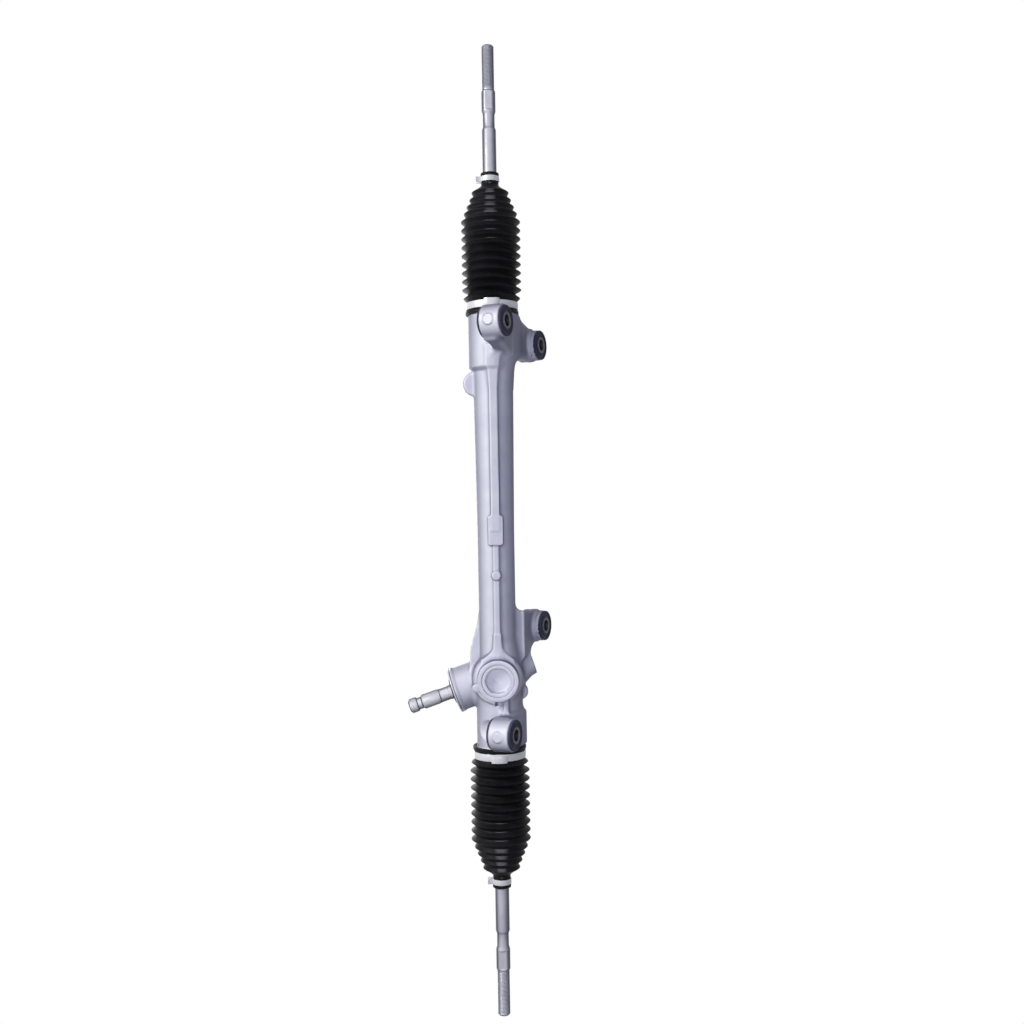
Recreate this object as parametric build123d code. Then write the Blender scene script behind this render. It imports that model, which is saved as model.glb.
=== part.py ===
from build123d import *
from math import acos, atan, cos, pi, radians, sin, sqrt, tan
import os

# All sizes in mm. X runs along the rack, Z along the mounting bolts, Z 0 is the foot plane.
# The yoke points along VIEW, the input shaft leans along LEFT, and BACK is opposite to VIEW.
AXIS_HEIGHT = 41.0
TILT = 25.0
SHAFT_LEAN = 19.0

RUN_GAP = 0.05
FIT_GAP = 0.02

# Gear pair: normal module, pressure angle, slant of the rack teeth, teeth of the pinion
MODULE = 1.95
PRESSURE = 20.0
SLANT = 6.0
TEETH = 7
SHIFT = 0.5
BACKLASH = 0.1
FACE_HALF = 17.0
HELIX = radians(SHAFT_LEAN + SLANT)
PITCH_R = TEETH * MODULE / (2 * cos(HELIX))
PRESSURE_T = atan(tan(radians(PRESSURE)) / cos(HELIX))
BASE_R = PITCH_R * cos(PRESSURE_T)
TIP_R = PITCH_R + 1.4 * MODULE
ROOT_TOOTH_R = PITCH_R - 0.75 * MODULE

# Rack bar: half length of the housing, reach of the bar past it, travel each way
BAR_R = 12.5
HOUSING_HALF = 262.0
BAR_OUT = 11.5
BAR_HALF = HOUSING_HALF + BAR_OUT
TRAVEL = 64.0
STOP_GAP = 1.0
END_BORE_DEPTH = 23.5
WASHER_T = 1.5
WASHER_R = 16.0
RACK_REF = 6.05
RACK_TIP = RACK_REF + MODULE
RACK_ROOT = RACK_REF - 1.25 * MODULE
RACK_PITCH = pi * MODULE / cos(radians(SLANT))
TOOTH_MARGIN = 16.0
TOOTH_HALF = TRAVEL + TOOTH_MARGIN
CROSS_X = 94.0 - HOUSING_HALF

# Ball joints and sockets
BALL_R = 13.0
BALL_REACH = 27.0
SOCKET_FACE = BAR_HALF + WASHER_T
BALL_X = SOCKET_FACE + BALL_REACH
SEAT_INSIDE_R = BALL_R + 0.06
SEAT_T = 1.95
SEAT_IN = -10.0
SEAT_OUT = 5.0
CAVITY_BALL_R = SEAT_INSIDE_R + SEAT_T + 0.04
SOCKET_WALL = 2.95
SOCKET_R = CAVITY_BALL_R + SOCKET_WALL
SOCKET_SHOULDER = BALL_X + 3.0
SOCKET_END = BALL_X + 18.0
MOUTH_R = BALL_R - 0.5
MOUTH_END_R = MOUTH_R + 1.1
SOCKET_END_R = MOUTH_END_R + 2.0
FLAT_DEPTH = 2.0
STUD_R = 8.0
STUD_LEN = END_BORE_DEPTH - 1.5

# Tie rod
ROD_R = 8.0
ROD_NECK_R = 7.0
ROD_NECK_END = BALL_X + 22.0
WAIST_R = 6.75
THREAD_R = 7.0
FLATS_AF = 14.0

# Housing
BORE_R = BAR_R + 4.5
TUBE_R = BORE_R + 4.0
TUBE_FAR_R = BORE_R + 6.0
MOUTH_BORE_R = SOCKET_R + 2.0
MOUTH_BORE_START = SOCKET_FACE - TRAVEL - STOP_GAP
SEAT_R = MOUTH_BORE_R + 6.5
SEAT_START = HOUSING_HALF - 15.5
COLLAR_R = SEAT_R + 1.0
COLLAR_START = HOUSING_HALF - 78.0
NECK_R = SEAT_R - 1.0
NECK_START = HOUSING_HALF - 62.0
BUSH_END = MOUTH_BORE_START - 2.0
BUSH_LEN = 22.0
BUSH_RING_T = 1.5
BUSH_RING_R = BORE_R + 1.0
RIB_W = 10.0
THIN_RIB_W = 7.0
RIB_STEP = 2.5
PAD_LEN = 34.0
PAD_W = 17.0
BUMP_X = -51.0
BUMP_R = 5.3

# Bellows: lip, band and convolutions; each taper step gives its step and its loss of radius
LIP_W = 4.0
BAND_R = SEAT_R + 2.3
LIP_R = BAND_R + 1.7
BELLOWS_WALL = 1.5
CLAMP_START = SEAT_START + LIP_W + 1.5
CLAMP_W = 8.0
CLAMP_T = 1.2
CREST_R = SEAT_R + 7.5
ROOT_DROP = 5.5
FIRST_LOSS = 1.5
CREST_PITCH = 9.75
CREST_FLAT = 1.2
FIRST_CREST = CLAMP_START + CLAMP_W + 1.0 + 0.46 * CREST_PITCH
FULL_CRESTS = 10
TAPER_STEPS = ((9.25, 3.5), (8.0, 3.2), (8.0, 3.3), (8.5, 2.7))
LAST_CREST = FIRST_CREST + (FULL_CRESTS - 1) * CREST_PITCH + sum(step for step, _ in TAPER_STEPS)
CUFF_X = LAST_CREST + 9.0
CUFF_LEN = 13.5
CUFF_WALL = 2.0
CUFF_R = ROD_R + CUFF_WALL
CLIP_START = CUFF_X + 3.5
CLIP_W = 6.0
CLIP_T = 0.9
CLIP_EAR = 6.0
CLIP_EAR_GAP = 6.0
WAIST_START = CUFF_X + CUFF_LEN + 50.5
WAIST_END = WAIST_START + 20.0
FLATS_END = WAIST_END + 23.5
ROD_TIP = FLATS_END + 52.8

# Mounting ears: node tail, bolt place, span of the arm's root along the rack
EARS = (
    ("far_front", COLLAR_START + 46.9, -46.5, COLLAR_START + 16, COLLAR_START + 61),
    ("far_rear", COLLAR_START + 31.3, 46.5, COLLAR_START + 11, COLLAR_START + 57),
    ("pinion_rear", CROSS_X + 54.9, 46.5, CROSS_X + 22, CROSS_X + 75),
    ("pinion_front", CROSS_X - 57.7, -41.0, CROSS_X - 76, CROSS_X - 38),
)
SLEEVE_R = 6.5
SLEEVE_OUT_R = SLEEVE_R + 3.0
SLEEVE_LEN = 30.0
RUBBER_R = SLEEVE_OUT_R + 6.5
RUBBER_LIP_R = RUBBER_R + 1.2
RUBBER_END = 0.6
BOSS_R = RUBBER_R + 2.5
BOSS_Z = (3.0, SLEEVE_LEN - 3.0)
MARK_R = 6.0
MARK_STEP = 0.6
ARM_Z = (11.0, SLEEVE_LEN - 4.0)
WEB_Z = (11.0, SLEEVE_LEN - 5.0)
WEB_HALF = 27.0

# Yoke bore, along VIEW from the rack axis
YOKE_R = 16.0
YOKE_START = 4.0
YOKE_END = 28.0
LINER_R = BAR_R + 1.0
CAP_START = YOKE_END + 1.0
CAP_R = YOKE_R + 2.4
CAP_LEN = 10.5
CAP_PLATE = 3.0
CAP_HEX_AF = 27.0
YOKE_BOSS_R = CAP_R + 4.6
YOKE_BOSS_END = CAP_START + CAP_LEN + 0.5
YOKE_FOOT_R = YOKE_BOSS_R + 5.5
SPRING_POCKET_R = 7.2
SPRING_START = BAR_R + 5.5
SPRING_R = 5.4
SPRING_WIRE = 1.8
SPRING_TURNS = 3
RING_AT = YOKE_END - 4.0
RING_MINOR = 0.98
RING_DEPTH = 2.0

# Pinion stack, along the shaft from the crossing
CAVITY_R = TIP_R + 1.24
CAVITY = (-FACE_HALF - 3.0, FACE_HALF + 7.0)
JOURNAL_R = 5.5
NEEDLE_R = JOURNAL_R + 2.5
NEEDLE = (CAVITY[0] - 13.0, CAVITY[0] - 1.0)
NEEDLE_FLOOR = NEEDLE[0] - 1.0
RACE_IN_R = 8.5
BALL_PITCH_R = RACE_IN_R + 4.9
RACE_R = BALL_PITCH_R + 5.05
RACE = (CAVITY[1], CAVITY[1] + 12.0)
BEARING_BALL_R = 3.175
BEARING_BALLS = 9
RACE_EDGE = 1.8
CAGE_HALF_T = 0.9
SNAP_R = RACE_IN_R + 2.0
SNAP_GROOVE_R = RACE_IN_R - 0.6
SNAP_T = 1.5
NUT_R = RACE_R + 1.0
NUT_END = RACE[1] + 11.0
NUT_IN_R = SNAP_R + 2.5
TOWER_R = NUT_R + 5.6
FLANGE_R = TOWER_R + 1.2
FLANGE = (RACE[1] + 14.5, RACE[1] + 18.0)
SEAL_R = RACE_IN_R + 6.0
SEAL_END = FLANGE[1] + 3.0
SEAL_LAND_R = RACE_IN_R
SEAL_LAND_END = SEAL_END + 3.0
LAND_R = 8.25
SHANK_R = LAND_R - 0.25
GROOVE_R = LAND_R - 1.25
LAND = (SEAL_END + 16.0, SEAL_END + 36.0)
END_LAND = LAND[1] + 7.0
SHAFT_TIP = END_LAND + 9.5
LOWER_BOSS_END = NEEDLE_FLOOR - 9.0
LOWER_BOSS_R = NEEDLE_R + 5.0
SHAFT_BACK = RACK_REF + PITCH_R + SHIFT * MODULE

X = Vector(1, 0, 0)
VIEW = Vector(0, -cos(radians(TILT)), -sin(radians(TILT)))
LEFT = Vector(0, -sin(radians(TILT)), cos(radians(TILT)))
BACK = VIEW * -1
SHAFT = LEFT * cos(radians(SHAFT_LEAN)) - X * sin(radians(SHAFT_LEAN))


def point(x, left=0.0, view=0.0):
    return Vector(x, 0, AXIS_HEIGHT) + LEFT * left + VIEW * view


def end_plane(side):
    return Plane(origin=point(0), x_dir=VIEW, z_dir=X * side)


def spin(profile, plane):
    """Turns a closed outline of (radius, place) points round the plane's z axis."""
    face = make_face(Polyline(*[(r, 0, t) for r, t in profile], close=True))
    return plane.location * revolve(face, Axis.Z)


def rod(radius, plane, start, end):
    return plane.location * Cylinder(
        radius, end - start, align=(Align.CENTER, Align.CENTER, Align.MIN)
    ).moved(Location((0, 0, start)))


def block(plane, xs, ys, zs):
    size = [b - a for a, b in (xs, ys, zs)]
    mid = [(a + b) / 2 for a, b in (xs, ys, zs)]
    return plane.location * Box(*size).moved(Location(mid))


def shaft_plane():
    return Plane(origin=point(CROSS_X, view=-SHAFT_BACK), x_dir=VIEW, z_dir=SHAFT)


def yoke_plane():
    return Plane(origin=point(CROSS_X), x_dir=X, z_dir=VIEW)


def half_tooth_angle(radius):
    def inv(a):
        return tan(a) - a
    at_radius = 0.0 if radius <= BASE_R else acos(BASE_R / radius)
    half = (pi / 2 + 2 * SHIFT * tan(radians(PRESSURE))) / TEETH
    return half + inv(PRESSURE_T) - inv(at_radius) - BACKLASH / (2 * PITCH_R)


def pinion_outline(turn):
    def spot(radius, angle):
        return Vector(radius * cos(angle + turn), radius * sin(angle + turn), 0)
    flank = [BASE_R + (TIP_R - BASE_R) * k / 4 for k in range(5)]
    edges = []
    for k in range(TEETH):
        mid = 2 * pi * (k + 0.5) / TEETH
        following = mid + 2 * pi / TEETH
        low, high = half_tooth_angle(BASE_R), half_tooth_angle(TIP_R)
        root_a = spot(ROOT_TOOTH_R, mid - low)
        root_b = spot(ROOT_TOOTH_R, mid + low)
        edges.append(Line(root_a, spot(BASE_R, mid - low)))
        edges.append(Spline(*[spot(r, mid - half_tooth_angle(r)) for r in flank]))
        edges.append(ThreePointArc(spot(TIP_R, mid - high), spot(TIP_R, mid), spot(TIP_R, mid + high)))
        edges.append(Spline(*[spot(r, mid + half_tooth_angle(r)) for r in reversed(flank)]))
        edges.append(Line(spot(BASE_R, mid + low), root_b))
        gap_mid = spot(ROOT_TOOTH_R, mid + pi / TEETH)
        edges.append(ThreePointArc(root_b, gap_mid, spot(ROOT_TOOTH_R, following - low)))
    return Wire(edges)


def pinion_teeth():
    turn_per_mm = tan(HELIX) / PITCH_R
    turn = turn_per_mm * 2 * FACE_HALF
    wire = pinion_outline(-turn / 2)
    teeth = Solid.extrude_linear_with_rotation(
        wire, (0, 0, 0), (0, 0, 2 * FACE_HALF), turn * 180 / pi
    )
    return shaft_plane().location * teeth.moved(Location((0, 0, -FACE_HALF)))


def pinion_shaft():
    low, high = CAVITY
    shoulder = SNAP_R - 1
    ring_end = RACE[1] + SNAP_T
    body = spin(
        [
            (0, NEEDLE[0]), (JOURNAL_R, NEEDLE[0]), (JOURNAL_R, low), (ROOT_TOOTH_R, low),
            (ROOT_TOOTH_R, FACE_HALF), (shoulder, FACE_HALF + 2), (shoulder, high), (RACE_IN_R, high),
            (RACE_IN_R, RACE[1]), (SNAP_GROOVE_R, RACE[1]), (SNAP_GROOVE_R, ring_end),
            (SEAL_LAND_R, ring_end), (SEAL_LAND_R, SEAL_LAND_END), (SHANK_R, SEAL_LAND_END + 1),
            (SHANK_R, LAND[0] - 1), (LAND_R, LAND[0]), (LAND_R, LAND[1]), (GROOVE_R, LAND[1] + 1),
            (GROOVE_R, END_LAND - 1), (LAND_R, END_LAND), (LAND_R, SHAFT_TIP - 1.5),
            (LAND_R - 1.5, SHAFT_TIP), (0, SHAFT_TIP),
        ],
        shaft_plane(),
    )
    return body + pinion_teeth()


def rack_bar():
    bar = rod(BAR_R, end_plane(1), -BAR_HALF, BAR_HALF)
    bar = chamfer(bar.edges().filter_by(GeomType.CIRCLE), 0.8)
    for side in (1, -1):
        bar -= rod((STUD_R + RUN_GAP), end_plane(side), BAR_HALF - END_BORE_DEPTH, BAR_HALF + 1)
    teeth = Plane(origin=point(CROSS_X), x_dir=X, z_dir=BACK)
    bar -= block(teeth, (-TOOTH_HALF, TOOTH_HALF), (-2 * BAR_R, 2 * BAR_R), (RACK_TIP, 2 * BAR_R))
    along = LEFT * cos(radians(SLANT)) + X * sin(radians(SLANT))
    across = X * cos(radians(SLANT)) - LEFT * sin(radians(SLANT))
    top = RACK_TIP + 1
    spaces = int((2 * TOOTH_HALF - 2 * BAR_R * tan(radians(SLANT))) / RACK_PITCH)
    cutters = []
    for k in range(spaces):
        x = CROSS_X + (k - spaces // 2 + 0.5) * RACK_PITCH
        plane = Plane(origin=point(x), x_dir=across, z_dir=along)

        def half_gap(height):
            return pi * MODULE / 4 + (height - RACK_REF) * tan(radians(PRESSURE))
        a, b = half_gap(RACK_ROOT), half_gap(top)
        outline = Polyline((-a, RACK_ROOT), (a, RACK_ROOT), (b, top), (-b, top), close=True)
        cutters.append(plane.location * extrude(make_face(outline), 2 * BAR_R, both=True))
    return bar - cutters


def socket(side):
    plane = end_plane(side)
    start = SOCKET_FACE
    body = spin(
        [
            (0, start - STUD_LEN), (STUD_R, start - STUD_LEN), (STUD_R, start), (SOCKET_R, start),
            (SOCKET_R, SOCKET_SHOULDER), (SOCKET_END_R, SOCKET_END), (0, SOCKET_END),
        ],
        plane,
    )
    centre = plane.location * Location((0, 0, BALL_X))
    mouth_at = BALL_X + sqrt(CAVITY_BALL_R**2 - MOUTH_R**2) - 0.5
    mouth = spin(
        [(0, mouth_at), (MOUTH_R, mouth_at), (MOUTH_END_R, SOCKET_END + 1), (0, SOCKET_END + 1)], plane
    )
    body = body - centre * Sphere(CAVITY_BALL_R) - mouth
    for turn in (0, 180):
        depth = (SOCKET_R - FLAT_DEPTH, SOCKET_R + 1)
        flat = block(plane, depth, (-SOCKET_R, SOCKET_R), (start, start + 12))
        body -= flat.rotate(Axis(point(0), X), turn)
    return body


def lock_washer(side):
    plane = end_plane(side)
    ring = rod(WASHER_R, plane, BAR_HALF, BAR_HALF + WASHER_T)
    return ring - rod((STUD_R + RUN_GAP), plane, BAR_HALF - 1, BAR_HALF + WASHER_T + 1)


def ball_seat(side):
    plane = end_plane(side)
    centre = plane.location * Location((0, 0, BALL_X))
    shell = centre * Sphere(SEAT_INSIDE_R + SEAT_T) - centre * Sphere(SEAT_INSIDE_R)
    return shell & rod(2 * BALL_R, plane, BALL_X + SEAT_IN, BALL_X + SEAT_OUT)


def tie_rod(side):
    plane = end_plane(side)
    ball = plane.location * Location((0, 0, BALL_X)) * Sphere(BALL_R)
    a, b = WAIST_START, WAIST_END
    shank = spin(
        [
            (0, BALL_X), (ROD_NECK_R, BALL_X), (ROD_NECK_R, ROD_NECK_END), (ROD_R, ROD_NECK_END + 6),
            (ROD_R, a), (WAIST_R, a + 3), (WAIST_R, b - 3), (ROD_R, b), (ROD_R, FLATS_END),
            (THREAD_R, FLATS_END + 1), (THREAD_R, ROD_TIP - 1.2), (THREAD_R - 1.2, ROD_TIP), (0, ROD_TIP),
        ],
        plane,
    )
    for turn in (0, 180):
        flat = block(plane, (FLATS_AF / 2, 2 * ROD_R), (-2 * ROD_R, 2 * ROD_R), (b + 2, FLATS_END - 1))
        shank -= flat.rotate(Axis(point(0), X), turn)
    return ball + shank


def bellows_crests():
    """Place, crest radius and root radius of each convolution."""
    crests = [(FIRST_CREST, CREST_R - FIRST_LOSS)]
    crests += [(FIRST_CREST + k * CREST_PITCH, CREST_R) for k in range(1, FULL_CRESTS)]
    for step, drop in TAPER_STEPS:
        crests.append((crests[-1][0] + step, crests[-1][1] - drop))
    return [(x, r, r - ROOT_DROP) for x, r in crests]


def bellows(side):
    band_end = CLAMP_START + CLAMP_W + 1
    outer = [(LIP_R, SEAT_START), (LIP_R, SEAT_START + LIP_W), (BAND_R, SEAT_START + LIP_W + 1)]
    outer.append((BAND_R, band_end))
    inner = [(SEAT_R, SEAT_START), (SEAT_R, HOUSING_HALF + 0.6)]
    crests = bellows_crests()
    for k, (x, top, root) in enumerate(crests):
        outer += [(top, x - CREST_FLAT), (top, x + CREST_FLAT)]
        inner.append((top - BELLOWS_WALL, x))
        if k + 1 < len(crests):
            middle = (x + crests[k + 1][0]) / 2
            outer.append((root, middle))
            inner.append((root - BELLOWS_WALL, middle))
    outer += [(CUFF_R, CUFF_X), (CUFF_R, CUFF_X + CUFF_LEN)]
    inner += [(ROD_R + RUN_GAP, CUFF_X - 1), (ROD_R + RUN_GAP, CUFF_X + CUFF_LEN)]
    return spin(outer + inner[::-1], end_plane(side))


def large_clamp(side):
    """Band with a crimped ear that stands on it."""
    plane = end_plane(side)
    end = CLAMP_START + CLAMP_W
    ring = rod(BAND_R + CLAMP_T, plane, CLAMP_START, end)
    ring += block(plane, (BAND_R, BAND_R + 3.0), (-8.5, 8.5), (CLAMP_START + 1, end))
    return ring - rod(BAND_R, plane, CLAMP_START - 1, end + 1)


def small_clip(side):
    """Spring clip with two ears to squeeze."""
    plane = end_plane(side)
    inside = CUFF_R + RUN_GAP
    end = CLIP_START + CLIP_W
    ring = rod(inside + CLIP_T, plane, CLIP_START, end)
    towards_left = sorted((0, -side * (inside + CLIP_EAR)))
    for low in (-CLIP_EAR_GAP / 2 - CLIP_T, CLIP_EAR_GAP / 2):
        ring += block(plane, (low, low + CLIP_T), towards_left, (CLIP_START, end))
    return ring - rod(inside, plane, CLIP_START - 1, end + 1)


def ear_plane(x, y):
    return Plane(origin=(x, y, 0))


def mount_sleeve(x, y):
    plane = ear_plane(x, y)
    return rod(SLEEVE_OUT_R, plane, 0, SLEEVE_LEN) - rod(SLEEVE_R, plane, 0, SLEEVE_LEN)


def mount_rubber(x, y):
    a, b = RUBBER_END, SLEEVE_LEN - RUBBER_END
    low, high = BOSS_Z
    return spin(
        [
            (SLEEVE_OUT_R, a), (RUBBER_LIP_R, a), (RUBBER_LIP_R, low), (RUBBER_R, low),
            (RUBBER_R, high), (RUBBER_LIP_R, high), (RUBBER_LIP_R, b), (SLEEVE_OUT_R, b),
        ],
        ear_plane(x, y),
    )


def ear(x, y, x_low, x_high):
    """Boss with an arm that tapers to it in plan and runs into the tube's belly."""
    boss = rod(BOSS_R, ear_plane(x, y), *BOSS_Z)
    boss = fillet(boss.edges().filter_by(GeomType.CIRCLE), 1.5)
    out = 1 if y > 0 else -1
    root = 14.0 * out
    right = min(x + BOSS_R - 1, SEAT_START - 0.5)
    plan = Polyline(
        (x_low, root), (x_high, root), (right, y - 6 * out), (right, y),
        (x - BOSS_R + 1, y), (x - BOSS_R + 1, y - 6 * out), close=True,
    )
    arm = extrude(make_face(plan), ARM_Z[1] + 20)
    low, high = ARM_Z
    side = Polyline(
        (y, low), (y, high), (y - 18 * out, high + 2), (root, high + 12), (root, low + 10),
        (y - 20 * out, low), close=True,
    )
    wall = Plane(origin=(x_low - 20, 0, 0), x_dir=(0, 1, 0), z_dir=(1, 0, 0))
    arm &= wall.location * extrude(make_face(side), x_high - x_low + 40)
    return boss + arm


def foot_web(*corners):
    """Flat web under the tube, with its corners in plan, that joins the arms of the ears."""
    plan = make_face(Polyline(*corners, close=True))
    return Pos(0, 0, WEB_Z[0]) * extrude(plan, WEB_Z[1] - WEB_Z[0])


def foot_webs():
    low, high = COLLAR_START + 11, COLLAR_START + 58
    far = foot_web(
        (low, WEB_HALF), (low, -WEB_HALF / 3), (low + 10, -WEB_HALF), (high, -WEB_HALF), (high - 4, WEB_HALF)
    )
    return far + foot_web(
        (CROSS_X - 75, -WEB_HALF), (CROSS_X - 39, -WEB_HALF), (CROSS_X - 39, 8), (CROSS_X - 75, 8)
    )


def cast_mark(x, y):
    """Round pad on the outer wall of a boss that faces the yoke's side."""
    middle = (BOSS_Z[0] + BOSS_Z[1]) / 2
    wall = Plane(origin=(x, y - BOSS_R - MARK_STEP, middle), x_dir=X, z_dir=(0, 1, 0))
    return rod(MARK_R, wall, 0, MARK_STEP + 1.6)


def tube():
    end = HOUSING_HALF
    waist = NECK_R + 1.5
    return spin(
        [
            (0, -end), (SEAT_R, -end), (SEAT_R, -SEAT_START), (NECK_R, -SEAT_START), (NECK_R, -NECK_START),
            (waist, CROSS_X - 22), (waist, CROSS_X + 18), (TUBE_R, CROSS_X + 44), (TUBE_R, 0),
            (TUBE_FAR_R, COLLAR_START - 3), (COLLAR_R, COLLAR_START), (COLLAR_R, SEAT_START),
            (SEAT_R, SEAT_START), (SEAT_R, end), (0, end),
        ],
        end_plane(1),
    )


def front_rib():
    """Spine, pad, thin spine and round bump on the side that the yoke points to."""
    plane = Plane(origin=point(0), x_dir=X, z_dir=VIEW)
    half, thin_half = RIB_W / 2, THIN_RIB_W / 2
    root = TUBE_R - 6
    rib = block(plane, (0, COLLAR_START), (-half, half), (root, TUBE_FAR_R + RIB_STEP))
    rib += block(plane, (CROSS_X + 20, 0), (-thin_half, thin_half), (root, TUBE_R + RIB_STEP))
    pad_top = TUBE_R + RIB_STEP + 1.7
    pad = block(plane, (-PAD_LEN / 2, PAD_LEN / 2), (-PAD_W / 2, PAD_W / 2), (root, pad_top))
    pad = fillet(pad.edges().filter_by(Axis(point(0), VIEW)), 2.0)
    bump = Plane(origin=point(BUMP_X), x_dir=X, z_dir=VIEW)
    return rib + pad + rod(BUMP_R, bump, root, TUBE_R + RIB_STEP + 2)


def left_lug():
    centre = TUBE_FAR_R - 2.3
    plane = Plane(origin=point(COLLAR_START - 16, left=centre), x_dir=X, z_dir=VIEW)
    lug = rod(14, plane, -7, 7)
    lug = fillet(lug.edges().filter_by(GeomType.CIRCLE), 2.0)
    return lug + block(plane, (-14, 14), (-centre, 0), (-7, 7))


def gusset():
    """Web between the tube and the tower, on the shaft's side."""
    plane = Plane(origin=point(CROSS_X, view=-14), x_dir=X, z_dir=VIEW)
    low = TUBE_R - 13
    outline = Polyline(
        (76, low), (73.5, TUBE_R - 1), (34, TUBE_R + 10), (8, TUBE_R + 12), (-22, low), close=True
    )
    return plane.location * extrude(make_face(outline), 26)


def yoke_boss():
    """Boss with a foot, the spine's flare above it and a rib to the ear below it."""
    plane = yoke_plane()
    top = YOKE_BOSS_END
    foot = TUBE_R + 3
    boss = spin(
        [
            (0, 0), (YOKE_FOOT_R + 1.5, 0), (YOKE_FOOT_R, foot - 1), (YOKE_FOOT_R - 1, foot),
            (YOKE_BOSS_R, foot + 0.5), (YOKE_BOSS_R, top), (0, top),
        ],
        plane,
    )
    thin = THIN_RIB_W / 2
    flare = Polyline((0, -14), (34, -5), (50, -thin), (50, thin), (34, 5), (0, 14), close=True)
    boss += plane.location * extrude(make_face(flare), TUBE_R + RIB_STEP)
    boss += block(plane, (-46, 0), (-11.5, -5.5), (0, NECK_R + 4))
    screw = Plane(origin=point(CROSS_X - 9, left=YOKE_BOSS_R + 2), x_dir=X, z_dir=VIEW)
    return boss + rod(4.5, screw, 0, TUBE_R + 6.5)


def tower():
    plane = shaft_plane()
    end, low = LOWER_BOSS_END, LOWER_BOSS_R
    body = spin(
        [
            (0, end), (low, end), (low + 1.5, end + 7), (TOWER_R, CAVITY[0] + 4), (TOWER_R, FLANGE[0] - 3),
            (FLANGE_R, FLANGE[0]), (FLANGE_R, FLANGE[1]), (0, FLANGE[1]),
        ],
        plane,
    )
    lug = Plane(origin=point(CROSS_X - 18.5, left=-NECK_R - 0.5, view=-8), x_dir=X, z_dir=VIEW)
    return body + rod(8, lug, -8, 8) + block(lug, (-8, 8), (0, 20), (-8, 8))


def housing():
    body = tube() + front_rib() + left_lug() + gusset() + yoke_boss() + tower() + foot_webs()
    for _, x, y, low, high in EARS:
        body += ear(x, y, low, high)
        if y < 0:
            body += cast_mark(x, y)
    ends = end_plane(1)
    body -= rod(BORE_R, ends, -HOUSING_HALF - 1, HOUSING_HALF + 1)
    for side in (1, -1):
        body -= rod(MOUTH_BORE_R, end_plane(side), MOUTH_BORE_START, HOUSING_HALF + 1)
    body -= rod(BUSH_RING_R, ends, BUSH_END, BUSH_END + BUSH_RING_T)
    for _, x, y, _, _ in EARS:
        body -= rod(RUBBER_R, ear_plane(x, y), 0, 2 * SLEEVE_LEN)
        body -= rod(BOSS_R + 1, ear_plane(x, y), BOSS_Z[1], BOSS_Z[1] + 20)
    yoke = yoke_plane()
    body -= rod(YOKE_R + RUN_GAP, yoke, 0, CAP_START)
    body -= rod(CAP_R + RUN_GAP, yoke, CAP_START - 0.5, YOKE_BOSS_END + 1)
    pinion = shaft_plane()
    body -= rod(CAVITY_R, pinion, *CAVITY)
    body -= rod(NEEDLE_R, pinion, NEEDLE_FLOOR, CAVITY[0] + 1)
    body -= rod(RACE_R, pinion, RACE[0], RACE[1] + 1)
    body -= rod(NUT_R + RUN_GAP, pinion, RACE[1], FLANGE[1] + 1)
    return body


def rack_bush():
    plane = end_plane(1)
    span = (BUSH_END - BUSH_LEN, BUSH_END)
    return rod(BORE_R, plane, *span) - rod(BAR_R + RUN_GAP, plane, *span)


def rack_bush_ring():
    plane = end_plane(1)
    span = (BUSH_END, BUSH_END + BUSH_RING_T)
    ring = rod(BUSH_RING_R - 0.1, plane, *span) - rod(BAR_R + 1.5, plane, *span)
    return ring - block(plane, (BAR_R - 2, BUSH_RING_R + 2), (-5, 5), (span[0] - 1, span[1] + 1))


def rack_yoke():
    plane = yoke_plane()
    body = rod(YOKE_R, plane, YOKE_START, YOKE_END)
    body -= rod(LINER_R, end_plane(1), CROSS_X - 30, CROSS_X + 30)
    body -= rod(SPRING_POCKET_R, plane, SPRING_START, YOKE_END + 1)
    groove = rod(YOKE_R + 1, plane, RING_AT - 1.3, RING_AT + 1.3)
    return body - (groove - rod(YOKE_R - RING_DEPTH, plane, RING_AT - 2, RING_AT + 2))


def yoke_liner():
    shell = rod(LINER_R, end_plane(1), CROSS_X - 15, CROSS_X + 15)
    shell -= rod(BAR_R + FIT_GAP, end_plane(1), CROSS_X - 16, CROSS_X + 16)
    return shell & rod(YOKE_R - 0.3, yoke_plane(), YOKE_START, YOKE_END)


def yoke_spring():
    length = CAP_START - SPRING_START - SPRING_WIRE
    path = Helix(length / SPRING_TURNS, length, SPRING_R)
    start = Plane(origin=path @ 0, x_dir=(1, 0, 0), z_dir=path % 0)
    wire = sweep(start * Rectangle(SPRING_WIRE, SPRING_WIRE), path, is_frenet=True)
    return yoke_plane().location * wire.moved(Location((0, 0, SPRING_START + SPRING_WIRE / 2)))


def yoke_cap():
    plane = yoke_plane()
    body = rod(CAP_R, plane, CAP_START, CAP_START + CAP_LEN)
    recess = extrude(RegularPolygon(CAP_HEX_AF / 2, 6, major_radius=False), CAP_LEN)
    return body - plane.location * recess.moved(Location((0, 0, CAP_START + CAP_PLATE)))


def yoke_seal_ring():
    major = YOKE_R - RING_DEPTH + RING_MINOR + FIT_GAP
    return yoke_plane().location * Torus(major, RING_MINOR).moved(Location((0, 0, RING_AT)))


def race(r_low, r_high):
    """Turns a race's section, a box with the ball groove taken out of it."""
    low, high = RACE
    mid = (low + high) / 2
    section = Pos((r_low + r_high) / 2, mid) * Rectangle(r_high - r_low, high - low)
    section -= Pos(BALL_PITCH_R, mid) * Circle(BEARING_BALL_R + FIT_GAP)
    return shaft_plane().location * revolve(Plane.XZ * section, Axis.Z)


def bearing_outer_race():
    return race(BALL_PITCH_R + RACE_EDGE, RACE_R)


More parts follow.
